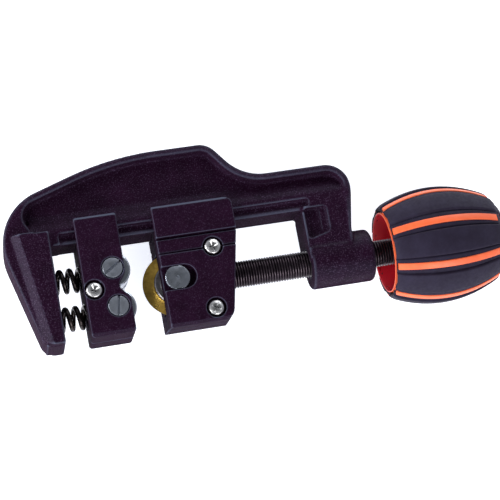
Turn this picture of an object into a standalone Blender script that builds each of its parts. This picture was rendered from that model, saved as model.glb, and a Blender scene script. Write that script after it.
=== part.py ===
"""Pipe cutter lying on its side: a cast C-frame carries a sprung roller carriage and a cutter
carriage, and a knob turns the feed screw that moves the cutter carriage along the frame's rail.

Sizes are in millimetres; every mesh is scaled to metres when it becomes an object.
Tool axes: +X runs along the feed screw towards the knob, +Y towards the beam, +Z to the front
cheeks. X = 0 is the inner end of the boss, and Y = Z = 0 is the screw's axis.
"""

import math

import bmesh
import bpy
from mathutils import Matrix, Vector

MM = 0.001
GAP = 0.3  # running clearance between any two pieces
SEAM = GAP / 2  # each half's share of the gap where a carriage's halves meet
THIN_WALL = 0.5
ROUND = 40  # sides of a large round piece
SMALL_ROUND = 24  # sides of a small one
REACH = 3.0  # how far a cutter runs past what it cuts
OVERLAP = 0.05  # how far joined solids run into each other

# Rollers, their pins and springs
ROLLER_RADIUS = 6.8
ROLLER_Y = ROLLER_RADIUS + GAP  # above and below the screw's axis
ROLLER_HALF = 9.1
ROLLER_GROOVE = 1.5
ROLLER_EDGE = 0.6
PIN_RADIUS = 3.0
PIN_HEAD = PIN_RADIUS + 0.75
PIN_HEAD_HEIGHT = 2.0
SLOT_WIDTH = 0.9
SLOT_DEPTH = 0.9
WIRE_RADIUS = 0.95
COIL_RADIUS = ROLLER_Y - 3.25
SPRING_TURNS = 3.5
SPRING_SIDES = 14  # straight runs in one turn of the coil
SPRING_POCKET = 3.0  # depth of the seat at each end
SPRING_SEAT = COIL_RADIUS + WIRE_RADIUS + GAP

# Cast frame
WINDOW_LENGTH = 94.6
BEAM_UNDER_Y = 19.2
BEAM_TOP_Y = 49.7
FRAME_HALF = 9.5  # half depth of rim and rail
WEB_HALF = 5.2
RIM_WIDTH = 2.6
RAIL_TOP_Y = 24.2  # where the web has risen to the rail's face
RAMP_RUN = 8.0  # height over which the web rises
GROOVE_Y = (20.5, 23.2)  # slot along each face of the rail
GROOVE_DEPTH = 2.4
LEG_INNER_X = -WINDOW_LENGTH
LEG_LENGTH = ROLLER_Y + ROLLER_RADIUS + 3.9  # below the screw's axis
LEG_FOOT = 7.6  # width of the leg's lower end
LEG_OUTER_X = LEG_INNER_X - LEG_FOOT
LEG_LEAN = 0.266  # sideways run of the leg's outer side for each mm of height
PAD_HALF = FRAME_HALF + 3.0
PAD_TOP_Y = 24.5
PAD_CHAMFER = 2.9
PAD_INSET = 5.6  # from the leg's outer side to the pad's foot, at the top
BROW_X = LEG_INNER_X + 27.2  # where the beam's top starts to fall towards the leg
BROW_RADIUS = 110.0
LEG_CORNER_Y = 34.0
SHOULDER_X = LEG_INNER_X + 63.7
NECK_START_X = SHOULDER_X + 11.4
NECK_TOP_Y = 35.2  # lower top of the beam over the boss
POST_OUTER_X = 20.2
POST_WAIST_X = POST_OUTER_X - 2.7
BOSS_LENGTH = 24.5
BOSS_RADIUS = 9.9
POCKET_X = (0.9, 9.2)
POCKET_Y = (8.2, 19.0)
POCKET_FLOOR = 3.0

# Roller carriage
CARRIAGE_HALF = PAD_HALF
CHEEK_TOP_Y = 27.7
ROLLER_LEFT_X = LEG_INNER_X + 9.4
ROLLER_X = ROLLER_LEFT_X + SPRING_POCKET + 0.9 + ROLLER_RADIUS + 2 * GAP
ROLLER_RIGHT_X = ROLLER_X + 4.5
ROLLER_BOTTOM_Y = 0.5 - LEG_LENGTH

# Cutter carriage, cutter wheel and axle
WHEEL_RADIUS = 12.0
WHEEL_LAND = WHEEL_RADIUS - 4.0  # where the cutting bevel starts
WHEEL_HALF = 1.6
WHEEL_EDGE = 0.05
CUTTER_LEFT_X = ROLLER_RIGHT_X + 13.0
AXLE_X = CUTTER_LEFT_X + 5.5
AXLE_RADIUS = 3.2
AXLE_HEAD = AXLE_RADIUS + 1.4
AXLE_FLAT = AXLE_HEAD - 0.45
AXLE_HEAD_HEIGHT = 1.0
AXLE_INSET = 0.1  # how far the head lies under the carriage's face
HUB_HALF = 3.0
HUB_SLEEVE = AXLE_RADIUS + 1.8
HUB_FLANGE = WHEEL_LAND - 0.2
CLIP_RADIUS = AXLE_RADIUS + 1.6
CLIP_THICKNESS = 0.8
CLIP_ROOM = 3.2  # depth of the recess behind the carriage that the clip sits in
CLIP_GROOVE = (0.9, 2.3)  # from the carriage's back face
SLOT_END_X = AXLE_X + 7.0
THREAD_RADIUS = 5.0
COLLAR_RADIUS = THREAD_RADIUS + 0.9
WASHER_THICKNESS = 1.0
COLLAR_START_X = AXLE_X + WHEEL_RADIUS + THIN_WALL + WASHER_THICKNESS + 4 * GAP
COLLAR_X = (COLLAR_START_X, COLLAR_START_X + 3.0)
CUTTER_RIGHT_X = COLLAR_X[1] + 7.0
CUTTER_TAPER = 0.2  # sideways run of the right side below the band
CUTTER_BOTTOM_Y = -WHEEL_RADIUS - 6.3
CUTTER_DRAFT = 2.1  # how much higher the bottom is at the back than in front
BAND_Y = (9.1, 15.5)
BAND_DEPTH = 0.4
THROUGH = (-CARRIAGE_HALF - REACH, CARRIAGE_HALF + REACH)  # past both faces of a carriage

# Phillips screws
SCREW_HEAD = 3.1
SCREW_HEAD_HEIGHT = 2.3
SCREW_SHANK = 1.5
CUTTER_SCREWS = ((CUTTER_RIGHT_X - 9.9, 9.6), (CUTTER_RIGHT_X - 12.6, -13.2))
ROLLER_SCREW = (ROLLER_LEFT_X + 3.6, 0.0)
SCREW_TIP_Z = 3.0 - CARRIAGE_HALF
CROSS_HALF = 1.7  # reach of the cross recess's arms
CROSS_WIDTH = 0.9
CROSS_DEPTH = 1.5

# Knob, with its far end fixed to the feed screw's shank
KNOB_X = (BOSS_LENGTH + 5.45, BOSS_LENGTH + 50.9)
KNOB_WAIST_X = KNOB_X[0] + 20.05
KNOB_RADIUS = 22.2
KNOB_CURVE = 0.000532 * KNOB_RADIUS  # fall of the barrel's radius with the square of the distance
MOUTH_WALL = 2.65
GRIP_THICKNESS = 2.4
GRIP_X = (KNOB_X[0] + 1.45, KNOB_X[1] - 2.8)
RIB_COUNT = 8
RIB_WIDTH = 2.6
RIB_X = (KNOB_X[0] + 3.55, KNOB_X[1] - 4.6)
RIB_PHASE = math.radians(32)
RIB_DROP = 0.5  # how far the ribs' tops lie under the grip's surface
END_WALL_X = (KNOB_X[1] - 11.4, KNOB_X[1] - 7.9)
CAP_X = KNOB_X[1] - 1.9
CAP_WALL = 1.2
SHANK_RADIUS = THREAD_RADIUS - 1.0
SHANK_X = (END_WALL_X[0] - 2.0, KNOB_X[1] - 2.4)
NUT_FLATS_HALF = SHANK_RADIUS + 2.5
NUT_HEIGHT = 3.2
KNOB_WASHER_RADIUS = SHANK_RADIUS * 2
KNOB_WASHER_THICKNESS = 1.2


# ---- scene and helpers ---------------------------------------------------------------------

for old in list(bpy.data.objects):
    bpy.data.objects.remove(old)

parts = bpy.data.collections.new("pipe_cutter")
cutters = bpy.data.collections.new("pipe_cutter_cutters")
bpy.context.scene.collection.children.link(parts)
bpy.context.scene.collection.children.link(cutters)


def paint(name, colour, roughness, metallic):
    """One material for one sub-part."""
    material = bpy.data.materials.new(name)
    material.use_nodes = True
    shader = material.node_tree.nodes["Principled BSDF"]
    shader.inputs["Base Color"].default_value = (*colour, 1.0)
    shader.inputs["Roughness"].default_value = roughness
    shader.inputs["Metallic"].default_value = metallic
    return material


CAST = ((0.035, 0.022, 0.05), 0.55, 0.1)
STEEL = ((0.42, 0.43, 0.45), 0.35, 1.0)
ZINC = ((0.7, 0.7, 0.68), 0.25, 1.0)
BLACKED = ((0.03, 0.028, 0.03), 0.4, 0.9)
SPRING = ((0.1, 0.085, 0.07), 0.35, 1.0)
GOLD = ((0.62, 0.42, 0.1), 0.3, 1.0)
BRONZE = ((0.5, 0.32, 0.15), 0.35, 1.0)
ORANGE = ((0.85, 0.12, 0.03), 0.4, 0.0)
RUBBER = ((0.03, 0.035, 0.055), 0.75, 0.0)


def empty(name, at, parent=None):
    """A frame to hang pieces on, placed at a joint's axis."""
    holder = bpy.data.objects.new(name, None)
    parts.objects.link(holder)
    holder.location = Vector(at) * MM
    holder.parent = parent
    return holder


def mesh_object(name, bm, at=(0, 0, 0), look=None, parent=None):
    """Makes a piece, or a cutter where it has no look, from a bmesh in millimetres."""
    bmesh.ops.recalc_face_normals(bm, faces=bm.faces)
    bmesh.ops.scale(bm, vec=(MM, MM, MM), verts=bm.verts)
    mesh = bpy.data.meshes.new(name)
    bm.to_mesh(mesh)
    bm.free()
    piece = bpy.data.objects.new(name, mesh)
    piece.location = Vector(at) * MM
    piece.parent = parent or tool
    if look is None:
        cutters.objects.link(piece)
        piece.hide_render = True
        piece.display_type = "WIRE"
        return piece
    parts.objects.link(piece)
    mesh.materials.append(paint(name, *look))
    mesh.shade_smooth()
    mesh.set_sharp_from_angle(angle=math.radians(35))
    return piece


def boolean(piece, other, operation="DIFFERENCE"):
    """Cuts one object with another, or joins it on."""
    modifier = piece.modifiers.new(other.name, "BOOLEAN")
    modifier.operation = operation
    modifier.solver = "EXACT"
    modifier.object = other


def rounded(corners, steps=5):
    """Points of a closed outline from its corners (x, y, radius)."""
    points = []
    for i, (x, y, radius) in enumerate(corners):
        here = Vector((x, y))
        before = Vector(corners[i - 1][:2]) - here
        after = Vector(corners[(i + 1) % len(corners)][:2]) - here
        if radius == 0:
            points.append(here)
            continue
        half = before.angle(after) / 2
        back = radius / math.tan(half)
        start = here + before.normalized() * back
        middle = here + (before.normalized() + after.normalized()).normalized() * radius / math.sin(half)
        sweep = (here + after.normalized() * back - middle).angle_signed(start - middle)
        for step in range(steps + 1):
            turn = Matrix.Rotation(sweep * step / steps, 2)
            points.append(middle + turn @ (start - middle))
    return points


def prism(points, low, high):
    """A flat outline made solid between two heights."""
    bm = bmesh.new()
    face = bm.faces.new([bm.verts.new((x, y, low)) for x, y in points])
    side = bmesh.ops.extrude_face_region(bm, geom=[face])
    raised = [v for v in side["geom"] if isinstance(v, bmesh.types.BMVert)]
    bmesh.ops.translate(bm, vec=(0, 0, high - low), verts=raised)
    return bm


def box(low, high):
    """A box from its two far corners."""
    size = Vector(high) - Vector(low)
    middle = (Vector(high) + Vector(low)) / 2
    bm = bmesh.new()
    bmesh.ops.create_cube(bm, size=1, matrix=Matrix.Translation(middle) @ Matrix.Diagonal((*size, 1)))
    return bm


def bar(section, low, high):
    """A (y, z) section made solid between two places along X."""
    bm = prism(section, low, high)
    bm.transform(Matrix(((0, 0, 1, 0), (1, 0, 0, 0), (0, 1, 0, 0), (0, 0, 0, 1))))
    return bm


def rod(radius, low, high, axis="Z", sides=SMALL_ROUND):
    """A plain round bar along one axis, through the origin of the other two."""
    turn = Matrix.Identity(4) if axis == "Z" else Matrix.Rotation(math.pi / 2, 4, "Y")
    bm = bmesh.new()
    bmesh.ops.create_cone(
        bm, cap_ends=True, segments=sides, radius1=radius, radius2=radius, depth=high - low,
        matrix=turn @ Matrix.Translation((0, 0, (low + high) / 2)),
    )
    return bm


def turned(name, profile, at, look=None, axis="Z", sides=ROUND, parent=None):
    """A profile of (radius, height) points, top to bottom down the outside, spun about an axis."""
    bm = bmesh.new()
    verts = [bm.verts.new((radius, 0, height)) for radius, height in profile]
    for above, below in zip(verts, verts[1:]):
        bm.edges.new((above, below))
    if profile[0][0] > 0:
        bm.edges.new((verts[-1], verts[0]))
    piece = mesh_object(name, bm, at, look, parent)
    if axis == "X":
        piece.rotation_euler = (0, math.pi / 2, 0)
    spin = piece.modifiers.new("spin", "SCREW")
    spin.steps = sides
    spin.render_steps = sides
    spin.use_merge_vertices = True
    spin.merge_threshold = 0.000001
    spin.use_smooth_shade = False
    return piece


tool = empty("tool", (0, 0, 0))


# ---- cast frame ------------------------------------------------------------------------------

def leg_outer(y):
    """Outer side of the leg at a height."""
    return LEG_OUTER_X - LEG_LEAN * (y + LEG_LENGTH)


def frame_corners():
    """Outside of the casting, with the window's sides left a little long for the window to trim."""
    spare = 2.0
    return [
        (leg_outer(-LEG_LENGTH), -LEG_LENGTH, 3.5),
        (LEG_INNER_X + spare, -LEG_LENGTH, 0),
        (LEG_INNER_X + spare, BEAM_UNDER_Y - spare, 0),
        (-spare, BEAM_UNDER_Y - spare, 0),
        (-spare, 0, 0),
        (POST_WAIST_X - 0.1, 0, 0),
        (POST_WAIST_X, BOSS_RADIUS, 6),
        (POST_OUTER_X, RAIL_TOP_Y, 20),
        (POST_OUTER_X, NECK_TOP_Y, 9),
        (NECK_START_X, NECK_TOP_Y, 18),
        (SHOULDER_X, BEAM_TOP_Y, 8),
        (BROW_X, BEAM_TOP_Y, BROW_RADIUS),
        (leg_outer(LEG_CORNER_Y), LEG_CORNER_Y, 21),
    ]


def recess_corners():
    """Inside of the rim, down to the rail."""
    inner_top = BEAM_TOP_Y - RIM_WIDTH
    inner_neck = NECK_TOP_Y - RIM_WIDTH
    inner_post = POST_OUTER_X - RIM_WIDTH
    inner_brow = BROW_RADIUS - RIM_WIDTH
    return [
        (LEG_INNER_X - 5.2, RAIL_TOP_Y, 1),
        (inner_post, RAIL_TOP_Y, 1),
        (inner_post, inner_neck, 6.4),
        (NECK_START_X - RIM_WIDTH / 2, inner_neck, 20.6),
        (SHOULDER_X - RIM_WIDTH / 2, inner_top, 5.4),
        (BROW_X + 0.4, inner_top, inner_brow),
        (LEG_INNER_X - 11.0, LEG_CORNER_Y + 0.4, 6),
    ]


def add_web_and_pockets(frame):
    """Both faces: the sunk web, its ramp up to the rail, the rail's slot and the post's pocket."""
    post = POST_OUTER_X - RIM_WIDTH
    rail_face = FRAME_HALF - OVERLAP
    for name, side in (("front", 1), ("back", -1)):
        near, far = sorted((WEB_HALF * side, (PAD_HALF + REACH) * side))
        boolean(frame, mesh_object(f"{name}_recess", prism(rounded(recess_corners()), near, far)))
        ramp = bar(
            [
                (RAIL_TOP_Y - 1, (WEB_HALF - 1) * side), (RAIL_TOP_Y - 1, rail_face * side),
                (RAIL_TOP_Y, rail_face * side), (RAIL_TOP_Y + RAMP_RUN, (WEB_HALF - OVERLAP) * side),
                (RAIL_TOP_Y + RAMP_RUN, (WEB_HALF - 1) * side),
            ],
            LEG_INNER_X - 6.4, post + 1,
        )
        boolean(frame, mesh_object(f"{name}_ramp", ramp), "UNION")
        near, far = sorted(((FRAME_HALF - GROOVE_DEPTH) * side, (FRAME_HALF + 1) * side))
        groove = box((LEG_INNER_X + 3.5, GROOVE_Y[0], near), (-1, GROOVE_Y[1], far))
        boolean(frame, mesh_object(f"{name}_groove", groove))
        near, far = sorted((POCKET_FLOOR * side, (FRAME_HALF + 1) * side))
        pocket = box((POCKET_X[0], POCKET_Y[0], near), (POCKET_X[1], POCKET_Y[1], far))
        boolean(frame, mesh_object(f"{name}_pocket", pocket))


def leg_pad():
    """Thick part of the leg, with a slope down its outer side."""
    foot = 0.2 - LEG_LENGTH
    pad = prism(
        [
            (leg_outer(PAD_TOP_Y) + PAD_INSET, PAD_TOP_Y), (leg_outer(foot) + 1.2, foot),
            (LEG_INNER_X, foot), (LEG_INNER_X, PAD_TOP_Y),
        ],
        -PAD_HALF, PAD_HALF,
    )
    outer_side = [
        edge for edge in pad.edges
        if edge.verts[0].co.z == edge.verts[1].co.z and max(v.co.x for v in edge.verts) < LEG_INNER_X
    ]
    bmesh.ops.bevel(pad, geom=outer_side, offset=PAD_CHAMFER, segments=1, affect="EDGES")
    return pad


def add_frame():
    frame = mesh_object("frame", prism(rounded(frame_corners()), -FRAME_HALF, FRAME_HALF), look=CAST)
    boolean(frame, mesh_object("pad", leg_pad()), "UNION")
    boolean(frame, mesh_object("boss", rod(BOSS_RADIUS, 0.4, BOSS_LENGTH, "X", ROUND)), "UNION")
    window = prism(
        rounded([
            (LEG_INNER_X, -LEG_LENGTH - REACH, 0),
            (0, -LEG_LENGTH - REACH, 0),
            (0, BEAM_UNDER_Y, 2),
            (LEG_INNER_X, BEAM_UNDER_Y, 2.5),
        ]),
        -PAD_HALF - REACH, PAD_HALF + REACH,
    )
    boolean(frame, mesh_object("window", window))
    add_web_and_pockets(frame)
    bore = rod(THREAD_RADIUS + GAP, -REACH, BOSS_LENGTH + REACH, "X", ROUND)
    boolean(frame, mesh_object("boss_bore", bore))
    for name, side in (("upper", 1), ("lower", -1)):
        seat = rod(SPRING_SEAT, LEG_INNER_X - SPRING_POCKET, LEG_INNER_X + REACH, "X")
        boolean(frame, mesh_object(f"{name}_leg_seat", seat, (0, ROLLER_Y * side, 0)))
    return frame


# ---- carriages -------------------------------------------------------------------------------

def carriage_shell(name, corners, side, parent):
    """One half of a carriage: a block whose cheek stands beside the rail, with a tongue in its slot."""
    inner, outer = sorted((SEAM * side, CARRIAGE_HALF * side))
    shell = mesh_object(name, prism(rounded(corners), inner, outer), look=CAST, parent=parent)
    left = min(corner[0] for corner in corners)
    right = max(corner[0] for corner in corners)
    near, far = sorted((-side, (FRAME_HALF + GAP) * side))
    rail = box((left - 2, BEAM_UNDER_Y - GAP, near), (right + 2, CHEEK_TOP_Y + 2, far))
    boolean(shell, mesh_object(f"{name}_rail_gap", rail, parent=parent))
    near, far = sorted(((FRAME_HALF - GROOVE_DEPTH + GAP) * side, (FRAME_HALF + 1) * side))
    tongue = box((left + 1, GROOVE_Y[0] + GAP, near), (right - 1, GROOVE_Y[1] - GAP, far))
    boolean(shell, mesh_object(f"{name}_tongue", tongue, parent=parent), "UNION")
    return shell


def drill(shell, name, place, radius, low, high, parent, sides=SMALL_ROUND):
    """A round hole along Z."""
    boolean(shell, mesh_object(name, rod(radius, low, high, "Z", sides), (*place, 0), parent=parent))


def add_roller_carriage(parent):
    corners = [
        (ROLLER_LEFT_X, ROLLER_BOTTOM_Y, 1.2),
        (ROLLER_RIGHT_X + 0.5, ROLLER_BOTTOM_Y, 1.2),
        (ROLLER_RIGHT_X + 0.5, -4.6, 2),
        (ROLLER_X + 1.1, 0.2, 2),
        (ROLLER_RIGHT_X, 5.2, 2),
        (ROLLER_RIGHT_X, CHEEK_TOP_Y, 0.8),
        (ROLLER_LEFT_X, CHEEK_TOP_Y, 0.8),
    ]
    bay = ROLLER_RADIUS + 2 * GAP
    for name, side in (("front", 1), ("back", -1)):
        shell = carriage_shell(f"roller_carriage_{name}", corners, side, parent)
        depth = sorted((-side, (ROLLER_HALF + GAP) * side))
        for level, height in (("upper", ROLLER_Y), ("lower", -ROLLER_Y)):
            label = f"{name}_{level}"
            drill(shell, f"{label}_bay", (ROLLER_X, height), bay, *depth, parent)
            mouth = box((ROLLER_X, height - bay, depth[0]), (AXLE_X, height + bay, depth[1]))
            boolean(shell, mesh_object(f"{label}_mouth", mouth, parent=parent))
            drill(shell, f"{label}_pin_hole", (ROLLER_X, height), PIN_RADIUS + GAP, *THROUGH, parent)
            seat = rod(SPRING_SEAT, ROLLER_LEFT_X - REACH, ROLLER_LEFT_X + SPRING_POCKET, "X")
            boolean(shell, mesh_object(f"{label}_seat", seat, (0, height, 0), parent=parent))
            if side == 1:
                floor = CARRIAGE_HALF - PIN_HEAD_HEIGHT - GAP
                place = (ROLLER_X, height)
                drill(shell, f"{label}_pin_seat", place, PIN_HEAD + GAP, floor, THROUGH[1], parent)
        screw_hole(shell, f"{name}_roller_screw", ROLLER_SCREW, side, parent)


def screw_hole(shell, name, place, side, parent):
    """Clearance hole for a carriage screw, with a seat for its head in the front half."""
    drill(shell, f"{name}_hole", place, SCREW_SHANK + GAP, SCREW_TIP_Z - GAP, THROUGH[1], parent)
    if side == 1:
        floor = CARRIAGE_HALF - SCREW_HEAD_HEIGHT - GAP
        drill(shell, f"{name}_seat", place, SCREW_HEAD + 2 * GAP, floor, THROUGH[1], parent)


def draft_cutter():
    """What the slant of the cutter carriage's bottom leaves off."""
    slope = CUTTER_DRAFT / (2 * CARRIAGE_HALF)
    reach = CARRIAGE_HALF + REACH
    section = [
        (CUTTER_BOTTOM_Y + slope * (CARRIAGE_HALF - reach), reach),
        (CUTTER_BOTTOM_Y + slope * (CARRIAGE_HALF + reach), -reach),
        (CUTTER_BOTTOM_Y - 2 * REACH, -reach), (CUTTER_BOTTOM_Y - 2 * REACH, reach),
    ]
    return bar(section, CUTTER_LEFT_X - REACH, CUTTER_RIGHT_X + REACH)


def add_cutter_carriage(parent):
    foot = CUTTER_RIGHT_X - CUTTER_TAPER * (BAND_Y[1] - CUTTER_BOTTOM_Y)
    corners = [
        (CUTTER_LEFT_X, CUTTER_BOTTOM_Y, 1.0),
        (foot, CUTTER_BOTTOM_Y, 4.5),
        (CUTTER_RIGHT_X, BAND_Y[1], 0),
        (CUTTER_RIGHT_X, CHEEK_TOP_Y, 3.0),
        (CUTTER_LEFT_X, CHEEK_TOP_Y, 0.8),
    ]
    washer_left = COLLAR_X[0] - WASHER_THICKNESS - 2 * GAP
    for name, side in (("front", 1), ("back", -1)):
        shell = carriage_shell(f"cutter_carriage_{name}", corners, side, parent)
        boolean(shell, mesh_object(f"{name}_draft", draft_cutter(), parent=parent))
        depth = sorted((-side, (HUB_HALF + GAP) * side))
        drill(shell, f"{name}_wheel_bay", (AXLE_X, 0), WHEEL_RADIUS + 2 * GAP, *depth, parent, ROUND)
        face = sorted(((CARRIAGE_HALF - BAND_DEPTH) * side, THROUGH[1] * side))
        band = box((CUTTER_LEFT_X - 2, BAND_Y[0], face[0]), (CUTTER_RIGHT_X + 2, BAND_Y[1], face[1]))
        boolean(shell, mesh_object(f"{name}_band", band, parent=parent))
        drill(shell, f"{name}_axle_hole", (AXLE_X, 0), AXLE_RADIUS + GAP, *THROUGH, parent)
        collar = rod(COLLAR_RADIUS + GAP, washer_left, COLLAR_X[1] + GAP, "X", ROUND)
        boolean(shell, mesh_object(f"{name}_collar_room", collar, parent=parent))
        bore = rod(THREAD_RADIUS + GAP, COLLAR_X[0], CUTTER_RIGHT_X + REACH, "X", ROUND)
        boolean(shell, mesh_object(f"{name}_screw_bore", bore, parent=parent))
        for number, place in enumerate(CUTTER_SCREWS):
            screw_hole(shell, f"{name}_cutter_screw_{number}", place, side, parent)
        if side == 1:
            half = AXLE_FLAT + GAP
            floor = CARRIAGE_HALF - AXLE_HEAD_HEIGHT - AXLE_INSET - GAP
            slot = rounded([
                (CUTTER_LEFT_X - REACH, -half, 0),
                (SLOT_END_X, -half, half - OVERLAP),
                (SLOT_END_X, half, half - OVERLAP),
                (CUTTER_LEFT_X - REACH, half, 0),
            ])
            boolean(shell, mesh_object("axle_slot", prism(slot, floor, THROUGH[1]), parent=parent))
        else:
            floor = CLIP_ROOM - CARRIAGE_HALF
            drill(shell, "clip_room", (AXLE_X, 0), CLIP_RADIUS + GAP, THROUGH[0], floor, parent)


def add_roller(name, parent):
    """A grooved roller, turned on its own axis."""
    bore = PIN_RADIUS + GAP
    groove = ROLLER_RADIUS - 1.0
    groove_foot = ROLLER_GROOVE - 0.4
    end = ROLLER_HALF - ROLLER_EDGE
    profile = [
        (ROLLER_RADIUS - ROLLER_EDGE, ROLLER_HALF), (ROLLER_RADIUS, end),
        (ROLLER_RADIUS, ROLLER_GROOVE), (groove, groove_foot),
        (groove, -groove_foot), (ROLLER_RADIUS, -ROLLER_GROOVE),
        (ROLLER_RADIUS, -end), (ROLLER_RADIUS - ROLLER_EDGE, -ROLLER_HALF),
        (bore, -ROLLER_HALF), (bore, ROLLER_HALF),
    ]
    turned(name, profile, (0, 0, 0), STEEL, parent=parent)


def add_pin(name, height, slot_angle, parent):
    """A roller pin with a slotted head, flush in the front half."""
    under = CARRIAGE_HALF - PIN_HEAD_HEIGHT
    profile = [
        (0, CARRIAGE_HALF), (PIN_HEAD - 0.2, CARRIAGE_HALF), (PIN_HEAD, CARRIAGE_HALF - 0.2),
        (PIN_HEAD, under), (PIN_RADIUS, under), (PIN_RADIUS, -CARRIAGE_HALF), (0, -CARRIAGE_HALF),
    ]
    pin = turned(name, profile, (ROLLER_X, height, 0), STEEL, sides=SMALL_ROUND, parent=parent)
    reach = PIN_HEAD + REACH
    slot = box(
        (-reach, -SLOT_WIDTH / 2, CARRIAGE_HALF - SLOT_DEPTH), (reach, SLOT_WIDTH / 2, THROUGH[1])
    )
    bmesh.ops.rotate(slot, cent=(0, 0, 0), matrix=Matrix.Rotation(slot_angle, 3, "Z"), verts=slot.verts)
    boolean(pin, mesh_object(f"{name}_slot", slot, (ROLLER_X, height, 0), parent=parent))


def add_carriage_screw(name, place, cross_angle, parent):
    """A dome-headed Phillips screw that pulls two halves together."""
    under = CARRIAGE_HALF - SCREW_HEAD_HEIGHT
    profile = [
        (0, CARRIAGE_HALF), (SCREW_HEAD * 0.5, CARRIAGE_HALF - 0.15),
        (SCREW_HEAD * 0.85, CARRIAGE_HALF - 0.6), (SCREW_HEAD, CARRIAGE_HALF - 1.3), (SCREW_HEAD, under),
        (SCREW_SHANK, under), (SCREW_SHANK, SCREW_TIP_Z + 0.5), (SCREW_SHANK - 0.5, SCREW_TIP_Z),
        (0, SCREW_TIP_Z),
    ]
    screw = turned(name, profile, (*place, 0), ZINC, sides=SMALL_ROUND, parent=parent)
    for number in range(2):
        arm = box(
            (-CROSS_HALF, -CROSS_WIDTH / 2, CARRIAGE_HALF - CROSS_DEPTH),
            (CROSS_HALF, CROSS_WIDTH / 2, THROUGH[1]),
        )
        turn = Matrix.Rotation(cross_angle + number * math.pi / 2, 3, "Z")
        bmesh.ops.rotate(arm, cent=(0, 0, 0), matrix=turn, verts=arm.verts)
        boolean(screw, mesh_object(f"{name}_cross_{number}", arm, (*place, 0), parent=parent))


def add_spring(name, height):
    """A compression coil between the leg's seat and the carriage's."""
    low = LEG_INNER_X - SPRING_POCKET + GAP + WIRE_RADIUS
    high = ROLLER_LEFT_X + SPRING_POCKET - GAP - WIRE_RADIUS
    count = int(SPRING_TURNS * SPRING_SIDES) + 1
    curve = bpy.data.curves.new(name, "CURVE")
    curve.dimensions = "3D"
    curve.bevel_depth = WIRE_RADIUS * MM
    curve.bevel_resolution = 2
    curve.use_fill_caps = True
    line = curve.splines.new("POLY")
    line.points.add(count - 1)
    for i, point in enumerate(line.points):
        angle = math.tau * i / SPRING_SIDES
        x = (low + (high - low) * i / (count - 1)) * MM
        y = COIL_RADIUS * math.cos(angle) * MM
        z = COIL_RADIUS * math.sin(angle) * MM
        point.co = (x, y, z, 1)
    coil = bpy.data.objects.new(name, curve)
    coil.location = Vector((0, height, 0)) * MM
    coil.parent = tool
    parts.objects.link(coil)
    curve.materials.append(paint(name, *SPRING))


# ---- cutter wheel and axle -------------------------------------------------------------------

def add_wheel(parent):
    bore = HUB_SLEEVE + GAP
    profile = [
        (WHEEL_LAND, WHEEL_HALF), (WHEEL_RADIUS, WHEEL_EDGE), (WHEEL_RADIUS, -WHEEL_EDGE),
        (WHEEL_LAND, -WHEEL_HALF),
        (bore, -WHEEL_HALF), (bore, WHEEL_HALF),
    ]
    turned("cutter_wheel", profile, (0, 0, 0), GOLD, parent=parent)


def add_wheel_bush(parent):
    bore = AXLE_RADIUS + GAP
    under = WHEEL_HALF + GAP
    profile = [
        (HUB_FLANGE - 0.3, HUB_HALF), (HUB_FLANGE, HUB_HALF - 0.3), (HUB_FLANGE, under),
        (HUB_SLEEVE, under), (HUB_SLEEVE, -HUB_HALF), (bore, -HUB_HALF), (bore, HUB_HALF),
    ]
    turned("wheel_bush", profile, (0, 0, 0), STEEL, parent=parent)


def add_axle(parent):
    """The wheel's axle: a head with two flats in front, a clip groove behind."""
    top = CARRIAGE_HALF - AXLE_INSET
    under = top - AXLE_HEAD_HEIGHT
    groove_low, groove_top = (height - CARRIAGE_HALF for height in CLIP_GROOVE)
    neck = AXLE_RADIUS - 0.8
    end = 2 * AXLE_INSET - CARRIAGE_HALF
    profile = [
        (0, top), (AXLE_HEAD - 0.3, top), (AXLE_HEAD, top - 0.3), (AXLE_HEAD, under),
        (AXLE_RADIUS, under), (AXLE_RADIUS, groove_top), (neck, groove_top), (neck, groove_low),
        (AXLE_RADIUS, groove_low), (AXLE_RADIUS, end), (0, end),
    ]
    axle = turned("wheel_axle", profile, (AXLE_X, 0, 0), STEEL, parent=parent)
    reach = AXLE_HEAD + REACH
    for name, side in (("upper", 1), ("lower", -1)):
        near, far = sorted((AXLE_FLAT * side, reach * side))
        flat = box((-reach, near, under - AXLE_INSET), (reach, far, THROUGH[1]))
        boolean(axle, mesh_object(f"{name}_flat", flat, (AXLE_X, 0, 0), parent=parent))
    middle = (groove_top + groove_low) / 2
    clip = turned(
        "axle_clip",
        [
            (CLIP_RADIUS, middle + CLIP_THICKNESS / 2), (CLIP_RADIUS, middle - CLIP_THICKNESS / 2),
            (neck + GAP, middle - CLIP_THICKNESS / 2), (neck + GAP, middle + CLIP_THICKNESS / 2),
        ],
        (AXLE_X, 0, 0), STEEL, parent=parent,
    )
    mouth = box((-neck, -reach, middle - REACH), (neck, 0, middle + REACH))
    boolean(clip, mesh_object("clip_mouth", mouth, (AXLE_X, 0, 0), parent=parent))


# ---- feed screw and knob ---------------------------------------------------------------------

def barrel(x):
    """Radius of the grip at a place along the knob."""
    return KNOB_RADIUS - KNOB_CURVE * (x - KNOB_WAIST_X) ** 2


def cap_pocket():
    """Radius of the recess that the end cap fills."""
    return barrel(GRIP_X[1]) - GRIP_THICKNESS - GAP - THIN_WALL


def barrel_profile(low, high, drop, steps=7):
    """(radius, x) points down the barrel from its far end to its near one."""
    places = [high + (low - high) * i / steps for i in range(steps + 1)]
    return [(barrel(x) - drop, x) for x in places]


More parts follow.
